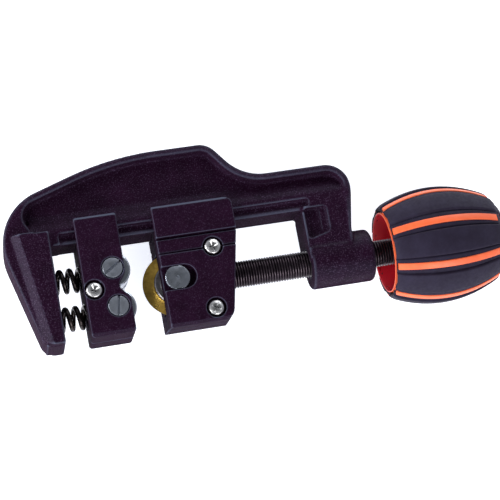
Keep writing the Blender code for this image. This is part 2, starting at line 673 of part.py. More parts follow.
def add_feed_screw(parent):
    collar = [(THREAD_RADIUS, COLLAR_X[1]), (COLLAR_RADIUS, COLLAR_X[1]), (COLLAR_RADIUS, COLLAR_X[0])]
    profile = [
        (0, SHANK_X[1]), (SHANK_RADIUS - 0.5, SHANK_X[1]), (SHANK_RADIUS, SHANK_X[1] - 0.5),
        (SHANK_RADIUS, SHANK_X[0]), (THREAD_RADIUS, SHANK_X[0]), *collar, (0, COLLAR_X[0]),
    ]
    turned("feed_screw", profile, (0, 0, 0), BLACKED, axis="X", parent=parent)


def add_thrust_washer(parent):
    right = COLLAR_X[0] - GAP
    left = right - WASHER_THICKNESS
    outer, inner = COLLAR_RADIUS - 0.2, 1.5
    profile = [(outer, right), (outer, left), (inner, left), (inner, right)]
    turned("thrust_washer", profile, (0, 0, 0), BRONZE, axis="X", parent=parent)


def ribs(width, low, high, drop, depth):
    """Eight long bars round the barrel, each following its curve."""
    bm = bmesh.new()
    for number in range(RIB_COUNT):
        outer = [(x, radius) for radius, x in barrel_profile(low, high, drop)]
        inner = [(x, radius - depth) for x, radius in reversed(outer)]
        rib = prism(outer + inner, -width / 2, width / 2)
        mesh = bpy.data.meshes.new("rib")
        rib.to_mesh(mesh)
        rib.free()
        start = len(bm.verts)
        bm.from_mesh(mesh)
        bm.verts.ensure_lookup_table()
        bpy.data.meshes.remove(mesh)
        turn = Matrix.Rotation(RIB_PHASE + math.tau * number / RIB_COUNT, 3, "X")
        bmesh.ops.rotate(bm, cent=(0, 0, 0), matrix=turn, verts=bm.verts[start:])
    return bm


def add_knob(parent):
    core_drop = GRIP_THICKNESS + GAP
    bore = barrel(KNOB_X[0]) - MOUTH_WALL
    pocket = cap_pocket()
    hole = SHANK_RADIUS + GAP
    core = turned(
        "knob_core",
        [
            (pocket, CAP_X), (barrel(GRIP_X[1]) - core_drop, CAP_X),
            *barrel_profile(GRIP_X[0], GRIP_X[1], core_drop),
            (barrel(GRIP_X[0]) - core_drop, GRIP_X[0] - GAP),
            (barrel(KNOB_X[0]) - 1.3, GRIP_X[0] - GAP), (barrel(KNOB_X[0]) - 1.6, KNOB_X[0]),
            (bore, KNOB_X[0]), (bore, END_WALL_X[0]), (hole, END_WALL_X[0]), (hole, END_WALL_X[1]),
            (pocket, END_WALL_X[1]),
        ],
        (0, 0, 0), ORANGE, axis="X", parent=parent,
    )
    rib_set = ribs(RIB_WIDTH, *RIB_X, RIB_DROP, GRIP_THICKNESS + 1.0)
    boolean(core, mesh_object("rib_set", rib_set, parent=parent), "UNION")
    grip = turned(
        "knob_grip",
        [
            (barrel(GRIP_X[1]) - 1.4, GRIP_X[1] + 0.5),
            *barrel_profile(GRIP_X[0] + 0.6, GRIP_X[1] - 0.6, 0),
            (barrel(GRIP_X[0]) - 0.6, GRIP_X[0]),
            *reversed(barrel_profile(*GRIP_X, GRIP_THICKNESS)),
            (barrel(GRIP_X[1]) - GRIP_THICKNESS, GRIP_X[1] + 0.5),
        ],
        (0, 0, 0), RUBBER, axis="X", parent=parent,
    )
    slots = ribs(RIB_WIDTH + 2 * GAP, RIB_X[0] - GAP, RIB_X[1] + GAP, -1, GRIP_THICKNESS + 2)
    boolean(grip, mesh_object("rib_slots", slots, parent=parent))


def add_knob_fixings(parent):
    """The washer and nut on the screw's shank, and the cap that closes the knob's end."""
    low = END_WALL_X[1] + GAP
    high = low + KNOB_WASHER_THICKNESS
    bore, rim = SHANK_RADIUS + GAP, KNOB_WASHER_RADIUS
    profile = [(rim, high), (rim, low), (bore, low), (bore, high)]
    turned("knob_washer", profile, (0, 0, 0), ZINC, axis="X", parent=parent)
    seat = high + GAP
    corner = NUT_FLATS_HALF / math.cos(math.pi / 6)
    nut = mesh_object("knob_nut", rod(corner, seat, seat + NUT_HEIGHT, "X", 6), look=ZINC, parent=parent)
    hole = rod(bore, seat - REACH, seat + NUT_HEIGHT + REACH, "X")
    boolean(nut, mesh_object("nut_bore", hole, parent=parent))
    outer = cap_pocket() - GAP
    inner = outer - CAP_WALL
    turned(
        "knob_cap",
        [
            (0, KNOB_X[1]), (outer - 1.5, KNOB_X[1]), (outer - 0.4, KNOB_X[1] - 0.5),
            (outer, KNOB_X[1] - 1.5), (outer, low), (inner, low), (inner, CAP_X + 0.2), (0, CAP_X + 0.2),
        ],
        (0, 0, 0), RUBBER, axis="X", parent=parent,
    )


# ---- assembly --------------------------------------------------------------------------------

def ground_point():
    """The tool's place in the world: the origin is under its middle, level with the knob's side."""
    outline = rounded(frame_corners())
    left = min(point.x for point in outline)
    top = max(point.y for point in outline)
    return Vector((-(left + KNOB_X[1]) / 2, -(top - KNOB_RADIUS) / 2, KNOB_RADIUS)) * MM


tool.location = ground_point()
add_frame()
for level, sign in (("upper", 1), ("lower", -1)):
    add_spring(f"{level}_spring", ROLLER_Y * sign)

roller_slide = empty("roller_slide", (0, 0, 0), tool)
add_roller_carriage(roller_slide)
for level, sign, slot_turn in (("upper", 1, math.radians(33)), ("lower", -1, math.radians(80))):
    axis = empty(f"{level}_roller_axis", (ROLLER_X, ROLLER_Y * sign, 0), roller_slide)
    add_roller(f"{level}_roller", axis)
    add_pin(f"{level}_roller_pin", ROLLER_Y * sign, slot_turn, roller_slide)
add_carriage_screw("roller_carriage_screw", ROLLER_SCREW, math.radians(20), roller_slide)

cutter_slide = empty("cutter_slide", (0, 0, 0), tool)
add_cutter_carriage(cutter_slide)
for level, place, cross in zip(("upper", "lower"), CUTTER_SCREWS, (15, 60)):
    add_carriage_screw(f"{level}_cutter_screw", place, math.radians(cross), cutter_slide)
add_axle(cutter_slide)
add_thrust_washer(cutter_slide)
wheel_axis = empty("wheel_axis", (AXLE_X, 0, 0), cutter_slide)
add_wheel(wheel_axis)
add_wheel_bush(wheel_axis)

screw_axis = empty("screw_axis", (0, 0, 0), cutter_slide)
add_feed_screw(screw_axis)
add_knob(screw_axis)
add_knob_fixings(screw_axis)
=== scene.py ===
# %% [markdown]
# # A screw-fed pipe cutter
# The tool lies on its side on a pale table. A cast C-frame carries two sliding carriages: one holds
# two rollers and is pushed by springs, the other holds the cutter wheel and is moved by a screw
# with a ribbed barrel knob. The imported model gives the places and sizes. Nearly every visible
# piece is made again here with softer edges and finer parts, and rides on the body that moves it.

# %% Load the frame
import math

import bmesh
import bpy
from mathutils import Matrix, Vector


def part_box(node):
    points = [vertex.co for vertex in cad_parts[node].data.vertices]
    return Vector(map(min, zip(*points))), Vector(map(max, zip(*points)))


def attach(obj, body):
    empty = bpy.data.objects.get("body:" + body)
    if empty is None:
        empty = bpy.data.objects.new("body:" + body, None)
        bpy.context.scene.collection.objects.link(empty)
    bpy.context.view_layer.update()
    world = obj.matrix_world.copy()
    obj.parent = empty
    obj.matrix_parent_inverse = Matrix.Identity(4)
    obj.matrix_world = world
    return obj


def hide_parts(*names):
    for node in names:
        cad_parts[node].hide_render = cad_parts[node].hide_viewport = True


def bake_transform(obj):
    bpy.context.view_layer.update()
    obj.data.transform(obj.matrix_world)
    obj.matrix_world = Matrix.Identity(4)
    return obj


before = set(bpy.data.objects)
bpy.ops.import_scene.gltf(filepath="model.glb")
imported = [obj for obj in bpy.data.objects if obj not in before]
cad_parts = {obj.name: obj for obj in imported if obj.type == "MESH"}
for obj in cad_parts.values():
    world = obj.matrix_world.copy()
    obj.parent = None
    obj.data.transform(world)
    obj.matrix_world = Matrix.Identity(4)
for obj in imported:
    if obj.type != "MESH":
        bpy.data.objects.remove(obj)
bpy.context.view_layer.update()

# %% [markdown]
# ## Where things are
# The tool is easier to make in millimetres on its own axes: X along the screw towards the knob,
# Y towards the beam, Z out of the front. The middle of the screw and the knob's end give the tool's
# place in the world, and each node's box gives the place of its piece. Points closer than WELD are
# merged, heights closer than NEAR count as equal, and PAST lies beyond the front of every casting.

# %% Tool axes
MM = 0.001
KNOB_END_X = 75.4
WELD = 0.0001
NEAR = 0.01
PAST = 16
screw_middle = (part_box("feed_screw")[0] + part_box("feed_screw")[1]) / 2
TOOL = Vector((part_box("knob_cap")[1].x - KNOB_END_X * MM, screw_middle.y, screw_middle.z))


def low(node):
    """Lowest corner of a node, in millimetres on the tool's axes."""
    return (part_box(node)[0] - TOOL) / MM


def high(node):
    """Highest corner of a node, in millimetres on the tool's axes."""
    return (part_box(node)[1] - TOOL) / MM


def middle(node):
    return (low(node) + high(node)) / 2


WHEEL_X = middle("cutter_wheel").x
ROLLER_X = middle("upper_roller").x
ROLLER_Y = middle("upper_roller").y
HALF = high("cutter_carriage_front").z
print("tool origin", [round(v, 5) for v in TOOL], "wheel at", round(WHEEL_X, 2))

# %% [markdown]
# ## Outlines and solids
# Most of the cast pieces start as a flat outline with rounded corners. The outline becomes one
# face, and an extrusion gives it depth. Where a hollow widens upwards, several outlines are
# bridged level by level instead.

# %% Outlines and what is extruded from them
def rounded(corners, steps=6):
    """Points of an outline from its corners (x, y, radius)."""
    points = []
    for i, (x, y, radius) in enumerate(corners):
        here = Vector((x, y))
        if radius == 0:
            points.append(here)
            continue
        before = Vector(corners[i - 1][:2]) - here
        after = Vector(corners[(i + 1) % len(corners)][:2]) - here
        half = before.angle(after) / 2
        inward = (before.normalized() + after.normalized()).normalized()
        centre = here + inward * radius / math.sin(half)
        start = here + before.normalized() * radius / math.tan(half)
        end = here + after.normalized() * radius / math.tan(half)
        sweep = (end - centre).angle_signed(start - centre)
        for step in range(steps + 1):
            points.append(centre + Matrix.Rotation(sweep * step / steps, 2) @ (start - centre))
    return points


def prism(points, bottom, top):
    """A flat outline extruded between two heights."""
    bm = bmesh.new()
    face = bm.faces.new([bm.verts.new((x, y, bottom)) for x, y in points])
    grown = bmesh.ops.extrude_face_region(bm, geom=[face])["geom"]
    lifted = [part for part in grown if isinstance(part, bmesh.types.BMVert)]
    bmesh.ops.translate(bm, vec=(0, 0, top - bottom), verts=lifted)
    bmesh.ops.recalc_face_normals(bm, faces=bm.faces)
    return bm


def box(near, far):
    """A box from two opposite corners, for cutting."""
    near, far = (Vector(map(pick, near, far)) for pick in (min, max))
    bm = bmesh.new()
    matrix = Matrix.Translation((near + far) / 2) @ Matrix.Diagonal((*(far - near), 1))
    bmesh.ops.create_cube(bm, size=1, matrix=matrix)
    return bm


def loft(levels):
    """Outlines with the same number of points, joined level by level and closed at both ends."""
    bm = bmesh.new()
    rings = []
    for points, height in levels:
        verts = [bm.verts.new((x, y, height)) for x, y in points]
        rings.append([bm.edges.new((verts[i - 1], verts[i])) for i in range(len(verts))])
    for lower, upper in zip(rings, rings[1:]):
        bmesh.ops.bridge_loops(bm, edges=lower + upper)
    for ring in (rings[0], rings[-1]):
        bmesh.ops.contextual_create(bm, geom=ring)
    bmesh.ops.recalc_face_normals(bm, faces=bm.faces)
    return bm


print("corner points of a rounded square:", len(rounded([(0, 0, 1), (9, 0, 1), (9, 9, 1), (0, 9, 1)])))

# %% [markdown]
# Round pieces are a half outline spun about an axis. Solids are made upright and then turned or
# moved to their place, or mirrored for the back of the tool.

# %% Turned solids, and moves
def along_x(bm):
    """Turns a solid made upright so that its height runs along the screw."""
    bm.transform(Matrix.Rotation(math.pi / 2, 4, "Y"))
    return bm


def bar(section, start, end):
    """A (y, z) section carried along the screw's direction."""
    bm = prism(section, start, end)
    bm.transform(Matrix(((0, 0, 1, 0), (1, 0, 0, 0), (0, 1, 0, 0), (0, 0, 0, 1))))
    return bm


def lathe(profile, sides=72):
    """A (radius, height) outline spun once round Z."""
    bm = bmesh.new()
    verts = [bm.verts.new((radius, 0, height)) for radius, height in profile]
    edges = [bm.edges.new(pair) for pair in zip(verts, verts[1:])]
    if min(profile[0][0], profile[-1][0]) > 0:
        edges.append(bm.edges.new((verts[-1], verts[0])))
    bmesh.ops.spin(
        bm, geom=verts + edges, cent=(0, 0, 0), axis=(0, 0, 1), angle=math.tau, steps=sides,
        use_merge=True,
    )
    bmesh.ops.remove_doubles(bm, verts=bm.verts, dist=WELD)
    bmesh.ops.recalc_face_normals(bm, faces=bm.faces)
    return bm


def rod(radius, bottom, top, sides=48):
    """A plain round bar along Z, for cutting holes."""
    bm = bmesh.new()
    bmesh.ops.create_cone(
        bm, cap_ends=True, segments=sides, radius1=radius, radius2=radius, depth=top - bottom,
        matrix=Matrix.Translation((0, 0, (bottom + top) / 2)),
    )
    return bm


def moved(bm, x=0.0, y=0.0):
    bm.transform(Matrix.Translation((x, y, 0)))
    return bm


def mirrored(bm, side):
    """A solid as it is for the front (side 1), or turned to the back (side -1)."""
    if side < 0:
        bm.transform(Matrix.Diagonal((1, 1, -1, 1)))
        bmesh.ops.reverse_faces(bm, faces=bm.faces)
    return bm


print("turning and moving helpers ready")

# %% Rounding of chosen edges
def level_edges(bm):
    """The edges whose two ends are at one height."""
    return [edge for edge in bm.edges if abs(edge.verts[0].co.z - edge.verts[1].co.z) < NEAR]


def round_edges(bm, edges, width, segments, clamp=True):
    bmesh.ops.bevel(
        bm, geom=edges, offset=width, segments=segments, profile=0.5, affect="EDGES", material=-1,
        clamp_overlap=clamp,
    )


print("edge helpers ready")

# %% [markdown]
# ## Cutting, joining and the softness of a casting
# A sand casting has no sharp edge anywhere. The crisp solid is made first with cuts and joins.
# A voxel remesh then turns it into one even skin, and a light smoothing rounds every edge at once,
# as paint and moulding sand do. Turned steel pieces keep their crisp form with a small bevel.

# %% From a bmesh to a mesh and an object
def mesh_of(name, bm):
    """A new mesh from a bmesh, which is used up."""
    mesh = bpy.data.meshes.new(name)
    bm.to_mesh(mesh)
    bm.free()
    return mesh


def in_scene(name, data):
    """A new object that shows this data, lamp or camera."""
    holder = bpy.data.objects.new(name, data)
    bpy.context.scene.collection.objects.link(holder)
    return holder


def scratch(bm):
    """A working object that holds a bmesh while modifiers act on it."""
    return in_scene("work", mesh_of("work", bm))


print("object helpers ready")

# %% Carving
CREASE = math.radians(40)


def carve(bm, cuts=(), voxel=0.0, soften=3, bevel=0.0):
    """Cuts ("-") and joins ("+") in turn, then a remesh or a bevel, and returns the finished bmesh."""
    body = scratch(bm)
    tools = []
    for sign, tool in cuts:
        tools.append(scratch(tool))
        modifier = body.modifiers.new("cut", "BOOLEAN")
        modifier.operation = "DIFFERENCE" if sign == "-" else "UNION"
        modifier.solver = "EXACT"
        modifier.object = tools[-1]
    if voxel:
        skin = body.modifiers.new("skin", "REMESH")
        skin.mode = "VOXEL"
        skin.voxel_size = voxel
        smooth = body.modifiers.new("smooth", "SMOOTH")
        smooth.factor = 0.5
        smooth.iterations = soften
    if bevel:
        edge = body.modifiers.new("edge", "BEVEL")
        edge.width = bevel
        edge.segments = 2
        edge.limit_method = "ANGLE"
        edge.angle_limit = CREASE
    bpy.context.view_layer.update()
    result = bpy.data.meshes.new_from_object(body.evaluated_get(bpy.context.evaluated_depsgraph_get()))
    out = bmesh.new()
    out.from_mesh(result)
    for holder in [body, *tools]:
        bpy.data.objects.remove(holder)
    bpy.data.meshes.remove(result)
    return out


print("a bevel rounds edges over", round(math.degrees(CREASE)), "degrees")

# %% Placing a finished piece
def place(name, bm, body, slot, finish, *nodes, sharp=40):
    """Puts a solid in the world in place of its CAD nodes, riding on its body if it names one."""
    bmesh.ops.remove_doubles(bm, verts=bm.verts, dist=WELD)
    bm.transform(Matrix.Translation(TOOL) @ Matrix.Scale(MM, 4))
    mesh = mesh_of(name, bm)
    mesh.materials.append(finish)
    mesh.shade_smooth()
    mesh.set_sharp_from_angle(angle=math.radians(sharp))
    piece = in_scene(name, mesh)
    if body:
        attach(piece, body)
    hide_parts(*nodes)
    print(name, "faces:", len(mesh.polygons))
    return piece


print("pieces are placed from", [round(v, 4) for v in TOOL])

# %% [markdown]
# ## Finishes
# Each finish is a small network on the Principled shader. Colour, roughness and bump vary with
# noise at the size that the real surface shows. All patterns read Object coordinates, which are
# metres here, so a noise scale of 1000 gives features about a millimetre across.

# %% A material and its nodes
def finish(name, colour, roughness, metallic=0.0, **sockets):
    """A material with its plain values set on the shader's own sockets."""
    material = bpy.data.materials.new(name)
    material.use_nodes = True
    shader = material.node_tree.nodes["Principled BSDF"]
    values = {"Base Color": (*colour, 1), "Roughness": roughness, "Metallic": metallic, **sockets}
    for socket, value in values.items():
        shader.inputs[socket].default_value = value
    return material


def node(material, kind, inputs=None, **settings):
    """Adds a node. An input is a value, or another node's output."""
    made = material.node_tree.nodes.new(kind)
    for key, value in settings.items():
        setattr(made, key, value)
    for socket, value in (inputs or {}).items():
        if isinstance(value, bpy.types.NodeSocket):
            material.node_tree.links.new(value, made.inputs[socket])
        else:
            made.inputs[socket].default_value = value
    return made


def wire(material, socket, output):
    """Joins an output to one of the shader's sockets."""
    shader = material.node_tree.nodes["Principled BSDF"]
    material.node_tree.links.new(output, shader.inputs[socket])


print("node helpers ready")

# %% Coordinates, noise and mixing
def coordinates(material, centre=(0, 0, 0)):
    """Object coordinates measured from a place on the tool, in metres."""
    source = node(material, "ShaderNodeTexCoord").outputs["Object"]
    shift = [-(TOOL[i] + centre[i] * MM) for i in range(3)]
    inputs = {"Vector": source, "Location": shift}
    return node(material, "ShaderNodeMapping", inputs).outputs["Vector"]


def noise(material, vector, scale, detail=3.0, rough=0.5):
    inputs = {"Vector": vector, "Scale": scale, "Detail": detail, "Roughness": rough}
    return node(material, "ShaderNodeTexNoise", inputs).outputs["Fac"]


def spread(material, value, start, end, to_start=0.0, to_end=1.0):
    """Maps one range of a value on to another, and stops at its ends."""
    inputs = {"Value": value, "From Min": start, "From Max": end, "To Min": to_start, "To Max": to_end}
    return node(material, "ShaderNodeMapRange", inputs).outputs["Result"]


def blend_colours(material, factor, first, second):
    """Mixes two colours, each of which may come from another node."""
    mix = node(material, "ShaderNodeMix", data_type="RGBA")
    for socket, value in ((0, factor), (6, first), (7, second)):
        if isinstance(value, bpy.types.NodeSocket):
            material.node_tree.links.new(value, mix.inputs[socket])
        else:
            mix.inputs[socket].default_value = value if socket == 0 else (*value, 1)
    return mix.outputs[2]


def bumps(material, *layers):
    """Heights with their depths in metres, laid one over another and joined to the shader."""
    normal = None
    for height, depth, strength in layers:
        inputs = {"Height": height, "Distance": depth, "Strength": strength}
        if normal is not None:
            inputs["Normal"] = normal
        normal = node(material, "ShaderNodeBump", inputs).outputs["Normal"]
    wire(material, "Normal", normal)


def pointiness(material):
    """How convex the surface is: 0.5 where it is flat, and more along an outer edge."""
    return node(material, "ShaderNodeNewGeometry").outputs["Pointiness"]


print("pattern helpers ready")

# %% [markdown]
# ### Cast paint
# The frame and carriages wear an aubergine-black paint with a fine wrinkle and tiny paler specks.
# It looks nearly black face on, and turns blue-grey where it is seen at a low angle, so the shader
# has a weak, cool highlight, and Layer Weight makes the paint rougher at low angles, which
# spreads that highlight over a whole side. Outer edges are painted a lighter blue-grey, partly as
# wear and partly as a painted highlight along them: the Geometry node's pointiness finds them. The
# carriages were ground flat first, so on them the grain is shallower and the specks are fainter.

# %% Cast paint
PAINT_DEEP, PAINT_PALE = (0.0085, 0.0012, 0.007), (0.0135, 0.0026, 0.012)
SPECK, EDGE_WEAR_AND_HIGHLIGHT = (0.08, 0.05, 0.095), (0.1, 0.115, 0.17)


def cast_paint(name, grain, depth, speckle):
    """Paint with a wrinkle of this grain and depth, and specks of this strength."""
    paint = finish(
        name, (0.018, 0.007, 0.02), 0.45,
        **{"Specular IOR Level": 0.1, "Specular Tint": (0.6, 0.66, 1.0, 1)},
    )
    at = coordinates(paint)
    cloudy = spread(paint, noise(paint, at, 160.0), 0.3, 0.7)
    base = blend_colours(paint, cloudy, PAINT_DEEP, PAINT_PALE)
    specks = spread(paint, noise(paint, at, 2300.0, 1.0), 0.56, 0.7, 0.0, speckle)
    speckled = blend_colours(paint, specks, base, SPECK)
    # Outer edges turn a lighter blue-grey: partly wear, partly a painted highlight.
    edge = spread(paint, pointiness(paint), 0.516, 0.572, 0.0, 0.7)
    wire(paint, "Base Color", blend_colours(paint, edge, speckled, EDGE_WEAR_AND_HIGHLIGHT))
    gloss = spread(paint, noise(paint, at, 700.0), 0.25, 0.75, 0.4, 0.54)
    facing = node(paint, "ShaderNodeLayerWeight", {"Blend": 0.5}).outputs["Facing"]
    dull = spread(paint, facing, 0.4, 0.7, 0.0, 0.56)
    total = node(paint, "ShaderNodeMath", {0: gloss, 1: dull}, operation="ADD").outputs["Value"]
    wire(paint, "Roughness", total)
    bumps(
        paint, (noise(paint, at, grain, 2.0), depth, 0.7),
        (noise(paint, at, 260.0, 2.0), 0.0003, 0.12),
    )
    return paint


CAST = cast_paint("aubergine_cast_paint", 1500.0, 0.0002, 0.5)
GROUND = cast_paint("aubergine_ground_paint", 1700.0, 0.0001, 0.3)
print("paint nodes:", len(CAST.node_tree.nodes))

# %% [markdown]
# ### Turned steel, zinc, bronze and gold
# Faces that were turned on a lathe keep fine rings round their axis. The distance from the axis,
# fed to a noise that varies in one direction only, gives uneven rings with no repeat. A second,
# slow noise makes the metal duller in patches, as handling does.

# %% Turned metal
RINGS = 5200.0


def from_axis(material, vector, along="Z"):
    """Distance of a point from an axis through the origin of a vector."""
    parts = node(material, "ShaderNodeSeparateXYZ", {"Vector": vector}).outputs
    pair = ("X", "Y") if along == "Z" else ("Y", "Z")
    inputs = {"X": parts[pair[0]], "Y": parts[pair[1]]}
    flat = node(material, "ShaderNodeCombineXYZ", inputs).outputs["Vector"]
    return node(material, "ShaderNodeVectorMath", {0: flat}, operation="LENGTH").outputs["Value"]


def turned_metal(name, colour, dull, roughness, centre, along="Z", cut=0.5):
    """Metal with rings round an axis through centre, cut this strongly."""
    metal = finish(name, colour, roughness, 1.0)
    at = coordinates(metal, centre)
    radius = from_axis(metal, at, along)
    ring = node(
        metal, "ShaderNodeTexNoise", {"W": radius, "Scale": RINGS, "Detail": 2.0}, noise_dimensions="1D"
    ).outputs["Fac"]
    patches = spread(metal, noise(metal, at, 420.0, 4.0), 0.35, 0.7)
    wire(metal, "Base Color", blend_colours(metal, patches, colour, dull))
    wire(metal, "Roughness", spread(metal, patches, 0.0, 1.0, roughness - 0.06, roughness + 0.12))
    bumps(metal, (ring, 0.00003, cut), (noise(metal, at, 3500.0), 0.00002, 0.25))
    return metal


print("rings are about", round(1 / (RINGS * MM), 2), "mm apart")

# %% Metals of the pieces
STEEL, STEEL_DULL = (0.48, 0.52, 0.6), (0.3, 0.32, 0.38)
ZINC, ZINC_DULL = (0.66, 0.66, 0.66), (0.4, 0.4, 0.42)
GOLD, GOLD_DULL = (0.66, 0.43, 0.09), (0.36, 0.22, 0.05)
HUB, HUB_DULL = (0.36, 0.35, 0.37), (0.2, 0.18, 0.2)
BRONZE, BRONZE_DULL = (0.5, 0.3, 0.13), (0.3, 0.16, 0.07)
pin_steel = {
    level: turned_metal(f"{level}_pin_steel", STEEL, STEEL_DULL, 0.36, (ROLLER_X, sign * ROLLER_Y, 0))
    for level, sign in (("upper", 1), ("lower", -1))
}
axle_steel = turned_metal("axle_steel", STEEL, STEEL_DULL, 0.3, (WHEEL_X, 0, 0))
hub_steel = turned_metal("hub_steel", HUB, HUB_DULL, 0.34, (WHEEL_X, 0, 0))
wheel_gold = turned_metal("wheel_gold", GOLD, GOLD_DULL, 0.3, (WHEEL_X, 0, 0))
bearing_bronze = turned_metal("bearing_bronze", BRONZE, BRONZE_DULL, 0.4, (0, 0, 0), "X")
knob_zinc = turned_metal("knob_zinc", ZINC, ZINC_DULL, 0.3, (0, 0, 0), "X")
print("pin steels:", [steel.name for steel in pin_steel.values()])

# %% [markdown]
# ### Black oxide and spring steel
# The screw was blacked after its thread was cut: nearly black, but the crests are rubbed
# brighter by the nut. The springs are oiled wire, dark with a wet shine along it.

# %% Dark steels
def dark_steel(name, colour, worn, roughness, wear, scale):
    """Dark steel that is worn where its pointiness lies in the range wear."""
    steel = finish(name, colour, roughness, 0.85)
    at = coordinates(steel)
    edge = spread(steel, pointiness(steel), *wear, 0.0, 0.8)
    patches = noise(steel, at, scale, 4.0)
    paler = tuple(2 * channel for channel in colour)
    mottled = blend_colours(steel, spread(steel, patches, 0.4, 0.7), colour, paler)
    wire(steel, "Base Color", blend_colours(steel, edge, mottled, worn))
    wire(steel, "Roughness", spread(steel, patches, 0.3, 0.7, roughness - 0.08, roughness + 0.14))
    bumps(steel, (noise(steel, at, 4000.0), 0.00002, 0.4))
    return steel


BLACK, RUBBED_BLACK = (0.022, 0.014, 0.021), (0.24, 0.2, 0.23)
OIL, RUBBED_OIL = (0.03, 0.024, 0.024), (0.1, 0.095, 0.095)
black_oxide = dark_steel("black_oxide", BLACK, RUBBED_BLACK, 0.34, (0.52, 0.6), 600.0)
oiled_wire = dark_steel("oiled_wire", OIL, RUBBED_OIL, 0.24, (0.56, 0.7), 800.0)
print("dark steels:", black_oxide.name, oiled_wire.name)

# %% [markdown]
# ### Orange plastic and rubber
# The knob is moulded in two materials. The orange core is a soft plastic with a fine matt
# grain; in its bore the colour is painted a deeper red as shade, so it changes with the distance from the
# axis.
# The grip is a slate rubber with a dusty bloom.

# %% Knob finishes
ORANGE_DEEP, ORANGE_PALE, PAINTED_BORE_SHADE = (0.82, 0.115, 0.03), (0.87, 0.14, 0.04), (0.72, 0.008, 0.028)
SLATE_DEEP, SLATE_PALE = (0.0135, 0.0095, 0.02), (0.0195, 0.015, 0.031)


def knob_plastic():
    plastic = finish(
        "orange_plastic", (0.82, 0.17, 0.05), 0.42,
        **{
            "Subsurface Weight": 0.06, "Subsurface Radius": (0.004, 0.001, 0.0005),
            "Subsurface Scale": 0.3,
        },
    )
    at = coordinates(plastic)
    # Painted shade: inside the bore the orange turns a deeper red.
    depth = spread(plastic, from_axis(plastic, at, "X"), 0.01495, 0.0151)
    shade = spread(plastic, noise(plastic, at, 300.0), 0.3, 0.7)
    outside = blend_colours(plastic, shade, ORANGE_DEEP, ORANGE_PALE)
    wire(plastic, "Base Color", blend_colours(plastic, depth, PAINTED_BORE_SHADE, outside))
    wire(plastic, "Roughness", spread(plastic, noise(plastic, at, 1200.0), 0.3, 0.7, 0.36, 0.52))
    bumps(plastic, (noise(plastic, at, 2400.0), 0.00005, 0.25))
    return plastic


def grip_rubber():
    rubber = finish(
        "slate_rubber", (0.03, 0.022, 0.045), 0.6,
        **{"Specular IOR Level": 0.22, "Specular Tint": (0.7, 0.72, 1.0, 1)},
    )
    at = coordinates(rubber)
    dusty = spread(rubber, noise(rubber, at, 220.0, 5.0), 0.35, 0.75)
    wire(rubber, "Base Color", blend_colours(rubber, dusty, SLATE_DEEP, SLATE_PALE))
    wire(rubber, "Roughness", spread(rubber, noise(rubber, at, 900.0), 0.3, 0.7, 0.6, 0.78))
    bumps(rubber, (noise(rubber, at, 2800.0, 2.0), 0.00006, 0.4))
    return rubber


orange = knob_plastic()
rubber = grip_rubber()
print("knob finishes:", orange.name, rubber.name)

# %% [markdown]
# ## The cast frame
# The frame is one casting: a beam with a sunk web between raised rims, a rail along its lower
# side for the carriages, a slanted leg with a thick pad, and a post with the boss that the screw
# runs through. The web's recess is a loft that widens upwards, as a mould needs in order to let
# go. Each corner of an outline is its x, its y and the radius that rounds it.

# %% Frame outline
RIM = 2.6
FACE = 9.5
RAIL_FACE = 8.8
WEB = 5.2
RAIL_TOP = 24.2
UNDER = 19.2
BEAM_TOP = 49.7
NECK_TOP = 35.2
POST_X = 20.2
LEG_X = -94.6
LEG_END = -17.8
LEG_WIDTH, LEG_LEAN = 7.6, 0.266
WEB_LEFT = -99.8


def leg_outer(y):
    """The leg's outer side, which leans out towards the beam."""
    return LEG_X - LEG_WIDTH - LEG_LEAN * (y - LEG_END)


frame_outline = rounded([
    (leg_outer(LEG_END), LEG_END, 4.6), (LEG_X + 2, LEG_END, 0), (LEG_X + 2, UNDER - 2, 0),
    (-2, UNDER - 2, 0), (-2, 0, 0), (POST_X - 2.8, 0, 0), (POST_X - 2.7, 9.9, 6),
    (POST_X, RAIL_TOP, 20), (POST_X, NECK_TOP, 9), (-19.5, NECK_TOP, 18), (-30.9, BEAM_TOP, 8),
    (-67.4, BEAM_TOP, 110), (leg_outer(34), 34, 21),
], steps=14)


def recess(rim, corner=1.0):
    """The web's outline inside a rim of this width."""
    more = rim - RIM
    return rounded([
        (WEB_LEFT + more, RAIL_TOP, corner), (POST_X - rim, RAIL_TOP, corner),
        (POST_X - rim, NECK_TOP - rim, 6.4 - more), (-20.8 - more / 2, NECK_TOP - rim, 20.6 + more),
        (-32.2 - more / 2, BEAM_TOP - rim, 5.4 - more),
        (-67, BEAM_TOP - rim, 107.4 - more), (-105.6 + more, 34.4 - more / 2, 6),
    ], steps=14)


print("outline points:", len(frame_outline))

# %% Frame blank with rounded rims
blank = prism(frame_outline, -FACE, FACE)
round_edges(blank, level_edges(blank), 1.1, 4)
print("blank faces:", len(blank.faces))

# %% [markdown]
# The ramp under the web is a bar whose section is half a wave, so the web swells up to the rail
# without a crease. The pad on the leg has a slope down its outer side. The post has a hollow whose
# lower edge follows the boss, so it slopes down towards the window.

# %% Ramp, pad and pocket
PAD_FOOT, PAD_INSET, PAD_LEAN = LEG_END + 0.2, 0.9, 0.108


def ramp(side):
    """A bar along the rail that lifts the web to the rail's face."""
    run, count = 8.0, 10
    section = [(RAIL_TOP - 1, (WEB - 1) * side), (RAIL_TOP - 1, RAIL_FACE * side)]
    for i in range(count + 1):
        wave = (1 + math.cos(math.pi * i / count)) / 2
        section.append((RAIL_TOP + run * i / count, (WEB - 0.05 + (RAIL_FACE - WEB) * wave) * side))
    section.append((RAIL_TOP + run, (WEB - 1) * side))
    return bar(section, -101, POST_X - RIM + 1)


def pad_outer(y):
    return leg_outer(y) + PAD_INSET + PAD_LEAN * (y - PAD_FOOT)


